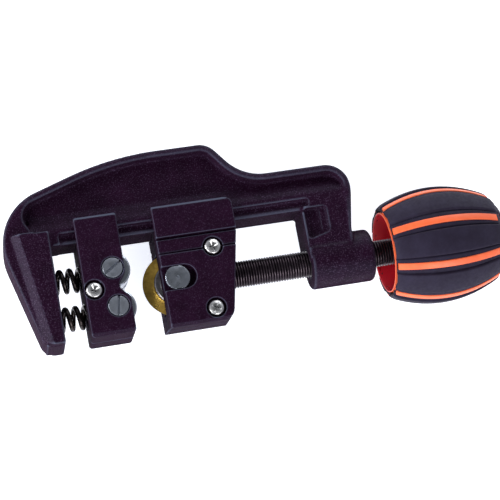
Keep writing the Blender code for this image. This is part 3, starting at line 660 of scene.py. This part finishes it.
def leg_pad(top=24.5):
    pad = prism([
        (pad_outer(top), top), (pad_outer(PAD_FOOT), PAD_FOOT), (LEG_X, PAD_FOOT), (LEG_X, top),
    ], -HALF, HALF)
    sloped = [e for e in level_edges(pad) if max(v.co.x for v in e.verts) < LEG_X - NEAR]
    round_edges(pad, sloped, 2.4, 1, clamp=False)
    return pad


def pocket_outline(left, right, corner, top=19.6):
    corners = (left, 7.6), (right, 9.8), (right, top), (left, top)
    return rounded([(*point, corner) for point in corners])


print("pad is", round(LEG_X - pad_outer(PAD_FOOT), 2), "mm wide at its foot")

# %% [markdown]
# The foot of the leg is rounded in two cuts, a toe towards the rollers and a heel on the pad's
# outer side. Both stop CLEAR of the faces beside them, because two faces that coincide upset an
# exact cut. The rail's face is lowered a little under the rims, and the rail has a groove and a lip
# for the carriages' tongues. Each of these is repeated for the back of the tool.

# %% Cuts and joins of the frame
CLEAR = 0.05
THREAD_BORE = 5.3
SPRING_SEAT, SEAT_DEPTH = 5.1, 3


def spring_seats(x):
    """Two round seats for the springs, cut both ways from a face at x."""
    for sign in (1, -1):
        seat = along_x(rod(SPRING_SEAT, x - SEAT_DEPTH, x + SEAT_DEPTH))
        yield "-", moved(seat, y=sign * ROLLER_Y)


boss = along_x(lathe(rounded([(0, 24.5, 0), (9.9, 24.5, 1.6), (9.9, 0.4, 0.8), (0, 0.4, 0)]), 96))
window = prism(rounded([
    (LEG_X, LEG_END - 5, 0), (0, LEG_END - 5, 0), (0, UNDER, 0.7), (LEG_X, UNDER, 0.9),
]), -PAST, PAST)
toe = prism(rounded([
    (LEG_X + 1, LEG_END + 3, 0), (LEG_X + CLEAR, LEG_END + 3, 0),
    (LEG_X + CLEAR, LEG_END - CLEAR, 2.2), (LEG_X - 3, LEG_END - CLEAR, 0),
    (LEG_X - 3, LEG_END - 1, 0), (LEG_X + 1, LEG_END - 1, 0),
]), -PAST, PAST)
heel = [
    (pad_outer(-9) - CLEAR, -9, 0), (pad_outer(-9) - 6, -9, 0), (pad_outer(-9) - 6, LEG_END - 3, 0),
    (LEG_X - 2, LEG_END - 3, 0), (LEG_X - 2, PAD_FOOT - CLEAR, 0),
    (pad_outer(PAD_FOOT) - CLEAR, PAD_FOOT - CLEAR, 4.4),
]
cuts = [("-", toe)]
for side in (1, -1):
    lowered = prism([
        (WEB_LEFT, UNDER - 12), (-3, 4), (15.9, 4), (POST_X - RIM, RAIL_TOP - 1),
        (POST_X - RIM, RAIL_TOP + 0.5), (WEB_LEFT, RAIL_TOP + 0.5),
    ], RAIL_FACE, FACE + 3)
    cuts.append(("-", mirrored(lowered, side)))
cuts += [("+", leg_pad()), ("+", boss), ("-", window)]
for side in (1, -1):
    cuts.append(("-", mirrored(prism(rounded(heel), FACE + 0.1, PAST), side)))
    hollow = loft([
        (recess(RIM + 0.3), WEB), (recess(RIM + 0.1), WEB + 0.4), (recess(RIM), FACE - 0.6),
        (recess(RIM - 0.3), FACE - 0.1), (recess(RIM - 0.5), HALF + 3),
    ])
    cuts.append(("-", mirrored(hollow, side)))
    cuts.append(("+", ramp(side)))
    cuts.append(("-", box((LEG_X + 3.5, 20.5, 7.1 * side), (3, 23.2, 11 * side))))
    cuts.append(("-", box((LEG_X + 3.5, UNDER - 1, 7.9 * side), (1, 20.7, 11 * side))))
    pocket = loft([
        (pocket_outline(1.5, 6.2, 1.0), 6.2), (pocket_outline(1.1, 6.7, 1.2), 7.2),
        (pocket_outline(0.9, 9.1, 1.2), 7.6), (pocket_outline(0.6, 9.5, 1.4), 11.0),
    ])
    cuts.append(("-", mirrored(pocket, side)))
cuts += [("-", along_x(rod(THREAD_BORE, -3, 28))), *spring_seats(LEG_X)]
print("cuts and joins:", len(cuts))

# %% The finished casting
casting = carve(blank, cuts, voxel=0.48, soften=3)
place("cast_frame", casting, "frame", "cast", CAST, "frame", sharp=80)

# %% [markdown]
# ## The carriages
# Each carriage is two halves screwed together, with cheeks that stand on both sides of the rail
# and tongues that run in its grooves. They are castings too, but their faces were ground, so they
# keep straighter edges than the frame: a finer voxel and less smoothing. The top and bottom edges
# of each face, its crown and sole, have a plain chamfer.

# %% Parts that both carriages share
SPLIT = 0.15
SCREW_HOLE, HEAD_SEAT = 1.8, 3.7


def carriage_half(name, corners, side, body, more_cuts):
    """One half, cut for the rail and with its tongue, on the side of the tool that side names."""
    inner, outer = sorted((SPLIT * side, HALF * side))
    solid = prism(rounded(corners), inner, outer)
    face_edges = [
        e for e in solid.edges if all(abs(v.co.z - HALF * side) < NEAR for v in e.verts)
    ]
    round_edges(solid, face_edges, 0.45, 2)
    left, right = min(c[0] for c in corners), max(c[0] for c in corners)
    sole, crown = min(c[1] for c in corners), max(c[1] for c in corners)
    upper = [(crown - 1.4, HALF + 0.3), (crown + 0.3, HALF + 0.3), (crown + 0.3, HALF - 1.4)]
    lower = [(sole + 1.5, HALF + 0.3), (sole - 0.3, HALF + 0.3), (sole - 0.3, HALF - 1.5)]
    cuts = [
        *[("-", mirrored(bar(chamfer, left - 2, right + 2), side)) for chamfer in (upper, lower)],
        ("-", box((left - 2, 18.9, -side), (right + 2, 31, 9.8 * side))),
        ("+", box((left + 1, 20.8, 7.4 * side), (right - 1, 22.9, 10.5 * side))),
        *more_cuts,
    ]
    carved = carve(solid, cuts, voxel=0.27, soften=2)
    return place(f"{name}_casting", carved, body, "cast", GROUND, name, sharp=80)


def screw_seat(x, y, side):
    """The clearance hole of a carriage screw, and in front the seat of its head."""
    yield "-", moved(rod(SCREW_HOLE, -9.8, PAST), x, y)
    if side > 0:
        yield "-", moved(rod(HEAD_SEAT, HALF - 2.6, PAST, 64), x, y)


def round_pocket(radius, depth, side, sides):
    """A round hollow from the middle of the tool into one half."""
    return rod(radius, -1, depth, sides) if side > 0 else rod(radius, -depth, 1, sides)


print("room between the halves:", 2 * SPLIT, "mm")

# %% Roller carriage
left, right = low("roller_carriage_front").x, ROLLER_X + 4.5
bottom, top = low("roller_carriage_front").y, high("roller_carriage_front").y
ROLLER_POCKET, POCKET_DEPTH = 7.4, 9.4
PIN_HOLE, PIN_SEAT = 3.3, 4.05
roller_screw = (left + 3.6, 0.0)
corners = [
    (left, bottom, 1.2), (right + 0.5, bottom, 1.2), (right + 0.5, -4.6, 2), (ROLLER_X + 1.1, 0.2, 2),
    (right, 5.2, 2), (right, top, 0.8), (left, top, 0.8),
]
for name, side in (("roller_carriage_front", 1), ("roller_carriage_back", -1)):
    cuts = list(screw_seat(*roller_screw, side))
    for y in (ROLLER_Y, -ROLLER_Y):
        hollow = round_pocket(ROLLER_POCKET, POCKET_DEPTH, side, 72)
        cuts.append(("-", moved(hollow, ROLLER_X, y)))
        near, far = (ROLLER_X, y - ROLLER_POCKET), (ROLLER_X + 20, y + ROLLER_POCKET)
        cuts.append(("-", box((*near, -side), (*far, POCKET_DEPTH * side))))
        cuts.append(("-", moved(rod(PIN_HOLE, -PAST, PAST), ROLLER_X, y)))
        if side > 0:
            cuts.append(("-", moved(rod(PIN_SEAT, HALF - 2.3, PAST, 64), ROLLER_X, y)))
    cuts.extend(spring_seats(left))
    carriage_half(name, corners, side, "roller_carriage", cuts)

# %% [markdown]
# The cutter carriage is longer. A shallow band crosses its face between two finer grooves, an
# open slot shows the wheel's axle, and its lower side has a draft: it slopes up towards the back.

# %% Cutter carriage
left, right = low("cutter_carriage_front").x, high("cutter_carriage_front").x
bottom, top = low("cutter_carriage_front").y, high("cutter_carriage_front").y
BAND = (9.1, 15.5)
DRAFT = 2.1
WHEEL_POCKET, WHEEL_DEPTH, COLLAR_HOLE = 12.6, 3.3, 6.2
AXLE_HOLE, CLIP_SEAT = 3.5, 5.1
SLOT_END, SLOT_HALF, SLOT_FLOOR = WHEEL_X + 7, 4.45, HALF - 3.2
corners = [
    (left, bottom, 1.0), (right - 0.2 * (BAND[1] - bottom), bottom, 4.5), (right, BAND[1], 0),
    (right, top, 3.0), (left, top, 0.8),
]
cutter_screws = ((right - 9.9, 9.6), (right - 12.6, -13.2))
for name, side in (("cutter_carriage_front", 1), ("cutter_carriage_back", -1)):
    slope = DRAFT / (2 * HALF)
    draft = bar([
        (bottom + slope * (HALF - 15), 15), (bottom + slope * (HALF + 15), -15),
        (bottom - 6, -15), (bottom - 6, 15),
    ], left - 3, right + 3)
    cuts = [("-", draft), ("-", moved(round_pocket(WHEEL_POCKET, WHEEL_DEPTH, side, 96), WHEEL_X))]
    for start, end, depth in ((*BAND, 0.7), (BAND[1] - 0.8, BAND[1], 2.0), (BAND[0], BAND[0] + 0.6, 1.4)):
        groove = box((left - 2, start, (HALF - depth) * side), (right + 2, end, 20 * side))
        cuts.append(("-", groove))
    cuts += [
        ("-", moved(rod(AXLE_HOLE, -PAST, PAST), WHEEL_X)),
        ("-", along_x(rod(COLLAR_HOLE, right - 11.6, right - 6.7, 72))),
        ("-", along_x(rod(THREAD_BORE, right - 10, right + 3, 72))),
    ]
    for x, y in cutter_screws:
        cuts.extend(screw_seat(x, y, side))
    if side > 0:
        slot = rounded([
            (left - 3, -SLOT_HALF, 0), (SLOT_END, -SLOT_HALF, 4.4), (SLOT_END, SLOT_HALF, 4.4),
            (left - 3, SLOT_HALF, 0),
        ], steps=12)
        cuts.append(("-", prism(slot, SLOT_FLOOR, PAST)))
    else:
        cuts.append(("-", moved(rod(CLIP_SEAT, -PAST, -SLOT_FLOOR), WHEEL_X)))
    carriage_half(name, corners, side, "cutter_carriage", cuts)

# %% [markdown]
# ## Rollers, pins and the wheel
# These are lathe work, so each is one spun profile, whose corners are a radius from the axis, a
# height and a rounding. The rollers have a groove that lets the cutter wheel reach a flare, and
# each pin has a slotted head.

# %% Rollers
for level, y in (("upper", ROLLER_Y), ("lower", -ROLLER_Y)):
    profile = rounded([
        (3.3, 9.1, 0.2), (6.8, 9.1, 0.6), (6.8, 1.5, 0.12), (5.8, 1.1, 0.2), (5.8, -1.1, 0.2),
        (6.8, -1.5, 0.12), (6.8, -9.1, 0.6), (3.3, -9.1, 0.2),
    ], steps=3)
    bright = turned_metal(f"{level}_roller_steel", STEEL, STEEL_DULL, 0.26, (ROLLER_X, y, 0))
    place(
        f"{level}_grooved_roller", moved(lathe(profile), ROLLER_X, y), f"{level}_roller", "steel",
        bright, f"{level}_roller",
    )

# %% Slotted pins
def slotted_pin(slot_angle):
    """A pin with a flat head and a screwdriver slot across it."""
    body = lathe(rounded([
        (0, HALF, 0), (3.75, HALF, 0.35), (3.75, HALF - 2, 0.1), (3.0, HALF - 2, 0),
        (3.0, -HALF, 0.4), (0, -HALF, 0),
    ], steps=3))
    groove = box((-7, -0.45, HALF - 1.0), (7, 0.45, HALF + 2))
    groove.transform(Matrix.Rotation(math.radians(slot_angle), 4, "Z"))
    return carve(body, [("-", groove)], bevel=0.06)


for level, y, angle in (("upper", ROLLER_Y, 33), ("lower", -ROLLER_Y, 80)):
    place(
        f"{level}_slotted_pin", moved(slotted_pin(angle), ROLLER_X, y), "roller_carriage", "steel",
        pin_steel[level], f"{level}_roller_pin", sharp=30,
    )

# %% [markdown]
# The cutter wheel has a flat hub and a long two-sided bevel that ends in a sharp edge. Its bush is
# a flanged sleeve, and the axle has a head with two flats and a small centre hole.

# %% Wheel and bush
wheel = moved(lathe(rounded([
    (5.3, 1.6, 0.15), (7.9, 1.6, 0.3), (8.6, 1.28, 0.6), (12.0, 0.05, 0), (12.0, -0.05, 0),
    (8.6, -1.28, 0.6), (7.9, -1.6, 0.3), (5.3, -1.6, 0.15),
], steps=3), 120), WHEEL_X)
place("gold_cutter_wheel", wheel, "cutter_wheel", "gold", wheel_gold, "cutter_wheel", sharp=30)
bush = moved(lathe(rounded([
    (3.5, 3.0, 0.15), (5.4, 3.0, 0.15), (5.7, 2.7, 0.2), (7.3, 2.7, 0.2), (7.8, 2.4, 0.1),
    (7.8, 1.9, 0.1), (5, 1.9, 0), (5, -3, 0.15), (3.5, -3, 0.15),
], steps=2), 96), WHEEL_X)
place("flanged_bush", bush, "cutter_wheel", "steel", hub_steel, "wheel_bush", sharp=30)

# %% Axle
head_top = high("wheel_axle").z
axle = lathe(rounded([
    (0, head_top - 0.4, 0), (0.34, head_top - 0.4, 0.05), (0.4, head_top, 0.05),
    (4.6, head_top, 0.45), (4.6, head_top - 1, 0.05), (3.2, head_top - 1, 0), (3.2, -10.2, 0),
    (2.4, -10.2, 0), (2.4, -11.6, 0), (3.2, -11.6, 0), (3.2, -12.3, 0.3), (0, -12.3, 0),
], steps=3), 96)
flats = [("-", box((-9, 4.1 * sign, head_top - 1.1), (9, 9 * sign, PAST))) for sign in (1, -1)]
place(
    "wheel_axle_turned", moved(carve(axle, flats, bevel=0.08), WHEEL_X), "cutter_carriage", "steel",
    axle_steel, "wheel_axle", sharp=30,
)

# %% [markdown]
# ## Cross-head screws
# Three bright zinc screws hold the halves together. The cross recess is cut with two tapered
# arms, lofted from a wide rectangle at the top to a narrow one at its floor.

# %% Screws
CROSS_ARM = ((0.6, 0.16, HALF - 1.7), (2.1, 0.3, HALF - 0.3), (2.4, 0.36, HALF + 1))


def rectangle(reach, width):
    return [(-reach, -width), (reach, -width), (reach, width), (-reach, width)]


def cross_screw(turn):
    """A domed screw whose cross recess is turned by this many degrees."""
    head = lathe(rounded([
        (0, HALF, 0), (1.5, HALF - 0.12, 1.3), (2.6, HALF - 0.5, 0.8), (3.1, HALF - 1.2, 0.4),
        (3.1, HALF - 2.3, 0.1), (1.5, HALF - 2.3, 0), (1.5, -9.0, 0.2), (1.0, -9.5, 0), (0, -9.5, 0),
    ], steps=3), 64)
    cuts = []
    for number in range(2):
        arm = loft([(rectangle(reach, width), height) for reach, width, height in CROSS_ARM])
        arm.transform(Matrix.Rotation(math.radians(turn + 90 * number), 4, "Z"))
        cuts.append(("-", arm))
    return carve(head, cuts, bevel=0.05)


screws = (
    ("roller_carriage_screw", roller_screw, 20, "roller_carriage"),
    ("upper_cutter_screw", cutter_screws[0], 15, "cutter_carriage"),
    ("lower_cutter_screw", cutter_screws[1], 60, "cutter_carriage"),
)
for name, (x, y), turn, body in screws:
    zinc = turned_metal(f"{name}_zinc", ZINC, ZINC_DULL, 0.3, (x, y, 0), cut=0.3)
    place(f"{name}_cross_head", moved(cross_screw(turn), x, y), body, "zinc", zinc, name, sharp=30)

# %% [markdown]
# ## Springs
# A spring is a circle carried round an axis while it moves along it, which is what a spin with a
# shift does. Both ends sit in round seats, one in the frame and one in the roller carriage.

# %% Springs
WIRE, COIL, TURNS = 0.95, 3.85, 3.5
TURN_STEPS = 48
END_ROOM = 1.5
start_x = low("upper_spring").x + WIRE
end_x = high("upper_spring").x - WIRE


def wind(bm, turns, steps_a_turn, length):
    """Carries a section round the screw's axis while it moves this far along it."""
    steps = int(turns * steps_a_turn)
    bmesh.ops.spin(
        bm, geom=list(bm.verts) + list(bm.edges), cent=(0, 0, 0), axis=(1, 0, 0),
        angle=math.tau * turns, steps=steps, dvec=(length / steps, 0, 0),
    )


def close_ends(bm):
    open_edges = [edge for edge in bm.edges if len(edge.link_faces) == 1]
    bmesh.ops.holes_fill(bm, edges=open_edges, sides=0)
    bmesh.ops.recalc_face_normals(bm, faces=bm.faces)


def on_axis(x, y):
    """A point of the world from a place beside the screw's axis."""
    return tuple(TOOL + Vector((x, y, 0)) * MM)


for level, y in (("upper", ROLLER_Y), ("lower", -ROLLER_Y)):
    coil = bmesh.new()
    matrix = Matrix.Translation((start_x, COIL, 0))
    bmesh.ops.create_circle(coil, segments=20, radius=WIRE, matrix=matrix)
    wind(coil, TURNS, TURN_STEPS, end_x - start_x)
    close_ends(coil)
    coil = moved(coil, y=y)
    spring = place(f"{level}_coil", coil, None, "spring", oiled_wire, f"{level}_spring")
    on_axis(start_x + END_ROOM, y)
    on_axis(end_x - END_ROOM, y)
    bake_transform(spring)

# %% [markdown]
# ## The feed screw
# The thread has a pitch of one millimetre. Its section over one pitch is two flanks, a flat crest
# and a narrow root, and the same spin with a shift winds it along the screw. Both ends are
# cut flat and closed inside the plain collar and shank, which become part of the same piece.

# %% Thread
PITCH, CREST, ROOT = 1.0, 5.0, 4.42
THREAD_STEPS = 32
collar_start = low("feed_screw").x
collar_end = collar_start + 3.0
shank_start, shank_end = 62.0, high("feed_screw").x
thread = bmesh.new()
flanks = [(0.0, ROOT), (0.42, CREST), (0.58, CREST), (1.0, ROOT)]
verts = [thread.verts.new((collar_end - 1 + x, 0, radius)) for x, radius in flanks]
for pair in zip(verts, verts[1:]):
    thread.edges.new(pair)
turns = int(shank_start - collar_end) + 2
wind(thread, turns, THREAD_STEPS, PITCH * turns)
bmesh.ops.remove_doubles(thread, verts=thread.verts, dist=10 * WELD)
for x, direction in ((collar_end - 0.2, -1), (shank_start + 0.2, 1)):
    bmesh.ops.bisect_plane(
        thread, geom=list(thread.verts) + list(thread.edges) + list(thread.faces),
        plane_co=(x, 0, 0), plane_no=(direction, 0, 0), clear_outer=True, dist=WELD,
    )
close_ends(thread)
print("turns of thread:", turns)

# %% Collar and shank
for points in (
    [(0, collar_end, 0), (5.9, collar_end, 0.3), (5.9, collar_start, 0.3), (0, collar_start, 0)],
    [(0, shank_end, 0), (4.0, shank_end, 0.5), (4.0, shank_start, 0), (0, shank_start, 0)],
):
    plain = mesh_of("rod", along_x(lathe(rounded(points, steps=3), 48)))
    thread.from_mesh(plain)
    bpy.data.meshes.remove(plain)
place("threaded_feed_screw", thread, "feed_screw", "blacked", black_oxide, "feed_screw", sharp=30)

# %% [markdown]
# ## The knob
# The knob is a hollow barrel. Eight orange ribs stand in channels of the rubber grip. Beside each
# rib the rubber drops to a ledge, and a narrow groove and a soft step lead up to the raised panel.
# The grip's skin is a flat grid wrapped round the barrel, because its rows and columns can be put
# exactly where the steps are.

# %% Barrel shape
MOUTH_X = 29.95
GRIP_X = (MOUTH_X + 0.2, KNOB_END_X - 2.8)
RIB_X = (MOUTH_X + 0.75, KNOB_END_X - 4.0)
RIBS = 8
RIB_HALF = 1.3
LEDGE = 2.3
PHASE = math.radians(32)
SECTOR = math.tau / RIBS
BELLY, BULGE = 22.2, 0.01181
ROUND = 21.0


def barrel(x):
    """The barrel's radius at a place along the screw."""
    return BELLY - BULGE * (x - (MOUTH_X + 20.05)) ** 2


def ease(value, start, end):
    """0 before start, 1 after end, and a smooth rise between."""
    t = min(max((value - start) / (end - start), 0.0), 1.0)
    return t * t * (3 - 2 * t)


def panel_drop(x, off_rib):
    """How far the grip's skin lies under the barrel, by the distance from the nearest rib's middle."""
    ledge = 1 - ease(off_rib, RIB_HALF + LEDGE - 0.35, RIB_HALF + LEDGE + 0.25)
    groove = math.exp(-((off_rib - RIB_HALF - LEDGE + 0.25) / 0.3) ** 2)
    mouth = 0.5 * (1 - ease(x, GRIP_X[0], GRIP_X[0] + 1.2)) ** 2
    return 0.62 * ledge + 0.45 * groove + mouth + ease(x, GRIP_X[1] - 1.6, GRIP_X[1] + 0.5) ** 2


print("barrel radius at the mouth", round(barrel(MOUTH_X), 2))

# %% [markdown]
# The grid's columns crowd together where the ledge, groove and step are, and lie further apart on
# the panels. ROUND is the barrel's mean radius, which turns a length round it into an angle.

# %% Grip skin
def wrapped(rows, columns, skin):
    """A grid of rows (x) and columns (angle), with its radius from skin(x, angle), closed round."""
    bm = bmesh.new()
    bmesh.ops.create_grid(bm, x_segments=len(rows) - 1, y_segments=len(columns) - 1, size=0.5)
    for vert in bm.verts:
        x = rows[round((vert.co.x + 0.5) * (len(rows) - 1))]
        angle = columns[round((vert.co.y + 0.5) * (len(columns) - 1))]
        radius = skin(x, angle)
        vert.co = (x, radius * math.cos(angle), radius * math.sin(angle))
    bmesh.ops.remove_doubles(bm, verts=bm.verts, dist=0.0005)
    return bm


LENGTHWAYS = 40
offsets = [
    0.0, 0.75, RIB_HALF + 0.12, 1.9, 2.5, 2.9, 3.1, 3.25, 3.4, 3.55, 3.7, 3.9, 4.3, 5.2, 6.4, 7.4,
]
half_sector = [offset / ROUND for offset in offsets]
columns = []
for number in range(RIBS):
    rib_angle = PHASE + SECTOR * number
    columns += [rib_angle - angle for angle in reversed(half_sector[1:])]
    columns += [rib_angle + angle for angle in half_sector]
    columns.append(rib_angle + SECTOR / 2)
columns.append(columns[0] + math.tau)
rows = [GRIP_X[0] + step for step in (0, 0.15, 0.35)]
rows += [RIB_X[0] + (RIB_X[1] - RIB_X[0]) * i / LENGTHWAYS for i in range(1, LENGTHWAYS)]
rows += [RIB_X[1] + 0.25, *(GRIP_X[1] + step for step in (-0.9, -0.5, -0.1, 0.2, 0.5))]


def off_rib(angle):
    """Distance round the barrel from the nearest rib's middle."""
    turn = (angle - PHASE + SECTOR / 2) % SECTOR - SECTOR / 2
    return abs(turn) * ROUND


grip = wrapped(rows, columns, lambda x, angle: barrel(x) - panel_drop(x, off_rib(angle)))
print("grip faces:", len(grip.faces))

# %% [markdown]
# The faces over each rib are taken out, which leaves eight long slots, and the skin is given its
# thickness inwards. The core's bore, end wall and cap pocket are one spun profile, and each
# rib is a curved bar with rounded upper edges.

# %% Grip slots and thickness
over_ribs = []
for face in grip.faces:
    centre = face.calc_center_median()
    angle = math.atan2(centre.z, centre.y)
    if off_rib(angle) < RIB_HALF + 0.1 and RIB_X[0] - 0.3 < centre.x < RIB_X[1] + 0.3:
        over_ribs.append(face)
print("faces over the ribs:", len(over_ribs))
bmesh.ops.delete(grip, geom=over_ribs, context="FACES")
bmesh.ops.recalc_face_normals(grip, faces=grip.faces)
outward = sum(face.normal.dot(Vector((0, *face.calc_center_median().yz))) for face in grip.faces)
if outward < 0:
    bmesh.ops.reverse_faces(grip, faces=grip.faces)
bmesh.ops.solidify(grip, geom=list(grip.faces), thickness=1.5)
bmesh.ops.recalc_face_normals(grip, faces=grip.faces)
place("rubber_grip", grip, "feed_screw", "rubber", rubber, "knob_grip", sharp=50)

# %% One rib
RIB_TOP, RIB_FOOT, RIB_COUNT = 0.3, 3.2, 32


def rib_bar():
    """One rib along the barrel at angle 0, with its sides flat and its upper edges rounded."""
    places = [RIB_X[0] + (RIB_X[1] - RIB_X[0]) * i / RIB_COUNT for i in range(RIB_COUNT + 1)]
    section = [(x, barrel(x) - RIB_TOP) for x in places]
    section += [(x, barrel(x) - RIB_FOOT) for x in reversed(places)]
    bm = prism(section, -RIB_HALF, RIB_HALF)
    upper = [e for e in level_edges(bm) if all(v.co.y > barrel(v.co.x) - 1 for v in e.verts)]
    round_edges(bm, upper, 0.3, 3)
    return bm


rib = mesh_of("rib", rib_bar())
print("rib faces:", len(rib.polygons))

# %% Core
CORE_ROWS, UNDER_SKIN = 24, 2.7
CAP_RADIUS, CAP_FLOOR = 12.97, 67.5
BORE, BORE_END, SHANK_HOLE = 14.8, 64, 4.3
under_grip = [GRIP_X[1] + (GRIP_X[0] - GRIP_X[1]) * i / CORE_ROWS for i in range(1, CORE_ROWS)]
core = along_x(lathe(rounded([
    (CAP_RADIUS, KNOB_END_X - 1.9, 0.2), (13.3, KNOB_END_X - 1.9, 0), (13.47, GRIP_X[1], 0),
    *[(barrel(x) - UNDER_SKIN, x, 0) for x in under_grip],
    (15.2, MOUTH_X + 0.8, 0), (15.2, MOUTH_X, 0.15), (BORE, MOUTH_X, 0.15), (BORE, BORE_END, 0.6),
    (SHANK_HOLE, BORE_END, 0), (SHANK_HOLE, CAP_FLOOR, 0), (CAP_RADIUS, CAP_FLOOR, 0.5),
], steps=4), 120))
for number in range(RIBS):
    start = len(core.verts)
    core.from_mesh(rib)
    core.verts.ensure_lookup_table()
    turn = Matrix.Rotation(PHASE + SECTOR * number, 3, "X")
    bmesh.ops.rotate(core, cent=(0, 0, 0), matrix=turn, verts=core.verts[start:])
bpy.data.meshes.remove(rib)
place("orange_knob_core", core, "feed_screw", "orange", orange, "knob_core", sharp=35)

# %% [markdown]
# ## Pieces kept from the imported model
# The cap, nut and washers of the knob, the axle's clip and the thrust washer are right as they
# are. They keep their CAD meshes and only get a finish.

# %% Finishes of the kept nodes
kept = {
    "knob_cap": rubber, "knob_nut": knob_zinc, "knob_washer": knob_zinc, "axle_clip": axle_steel,
    "thrust_washer": bearing_bronze,
}
for name, material in kept.items():
    for finish_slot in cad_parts[name].material_slots:
        finish_slot.material = material
print("kept nodes:", sorted(kept))

# %% [markdown]
# ## Table, light and camera
# The table is a plain pale floor that runs far past the view and glows faintly, so that it stays
# pale between the castings too. The world is bright round the sides and darker overhead, so the
# paint stays nearly black face on, while the castings' sides pick up the table. Four soft boxes
# stand to the left (a high one and a low one), behind and in front.

# %% Floor
sheet = bmesh.new()
bmesh.ops.create_grid(sheet, x_segments=1, y_segments=1, size=3)
floor = in_scene("floor", mesh_of("floor", sheet))
glow = {"Emission Color": (0.86, 0.9, 1, 1), "Emission Strength": 0.75}
floor.data.materials.append(finish("pale_floor", (0.93, 0.93, 0.93), 0.9, **glow))
print("floor faces:", len(floor.data.polygons))

# %% World
world = bpy.data.worlds.new("studio")
bpy.context.scene.world = world
world.use_nodes = True
tree = world.node_tree
background = tree.nodes["Background"]
direction = tree.nodes.new("ShaderNodeTexCoord").outputs["Generated"]
split = tree.nodes.new("ShaderNodeSeparateXYZ")
height = tree.nodes.new("ShaderNodeMapRange")
tree.links.new(direction, split.inputs[0])
tree.links.new(split.outputs["Z"], height.inputs["Value"])
for socket, value in {"From Min": 0.3, "From Max": 0.85, "To Min": 1.0, "To Max": 0.12}.items():
    height.inputs[socket].default_value = value
tree.links.new(height.outputs["Result"], background.inputs["Strength"])
background.inputs["Color"].default_value = (0.93, 0.96, 1.0, 1)
print("world nodes:", len(tree.nodes))

# %% Lights
SOFT_BOXES = {
    "left_box": ((-1.0, -0.5, 0.75), 0.7, 9),
    "left_strip": ((-1.1, 0.2, 0.2), 0.5, 12),
    "back_box": ((0.6, 1.1, 0.55), 0.8, 8),
    "front_box": ((0.2, -1.1, 0.7), 0.7, 9),
}
for name, (at, size, power) in SOFT_BOXES.items():
    lamp = bpy.data.lights.new(name, "AREA")
    lamp.size = size
    lamp.energy = power
    holder = in_scene(name, lamp)
    holder.location = at
    holder.rotation_euler = (-Vector(at)).to_track_quat("-Z", "Y").to_euler()
bpy.context.scene.view_settings.view_transform = "Standard"
print("lights:", sorted(SOFT_BOXES))

# %% [markdown]
# The camera looks down at a steep angle from the front left, slightly rolled, with a long lens, so
# the tool lies across the view with its knob low on the right.

# %% Camera
AZIMUTH, ELEVATION, ROLL = (math.radians(a) for a in (-39.2, 74.2, -10.66))
TARGET = Vector((-20.6, 8.7, 0.0))
DISTANCE = 638.0
FOCAL, SENSOR = 122.28, 36
back = Vector((
    math.sin(AZIMUTH) * math.cos(ELEVATION), -math.cos(AZIMUTH) * math.cos(ELEVATION),
    math.sin(ELEVATION),
))
right_hand = Vector((0, 1, 0)).cross(back).normalized()
up = back.cross(right_hand)
across = right_hand * math.cos(ROLL) + up * math.sin(ROLL)
upward = up * math.cos(ROLL) - right_hand * math.sin(ROLL)
lens = bpy.data.cameras.new("camera")
lens.lens = FOCAL
lens.sensor_width = SENSOR
lens.clip_start = 0.01
camera = in_scene("camera", lens)
turned = Matrix((across, upward, back)).transposed().to_4x4()
camera.matrix_world = Matrix.Translation(TOOL + (TARGET + back * DISTANCE) * MM) @ turned
bpy.context.scene.camera = camera
print("camera at", [round(v, 3) for v in camera.location])
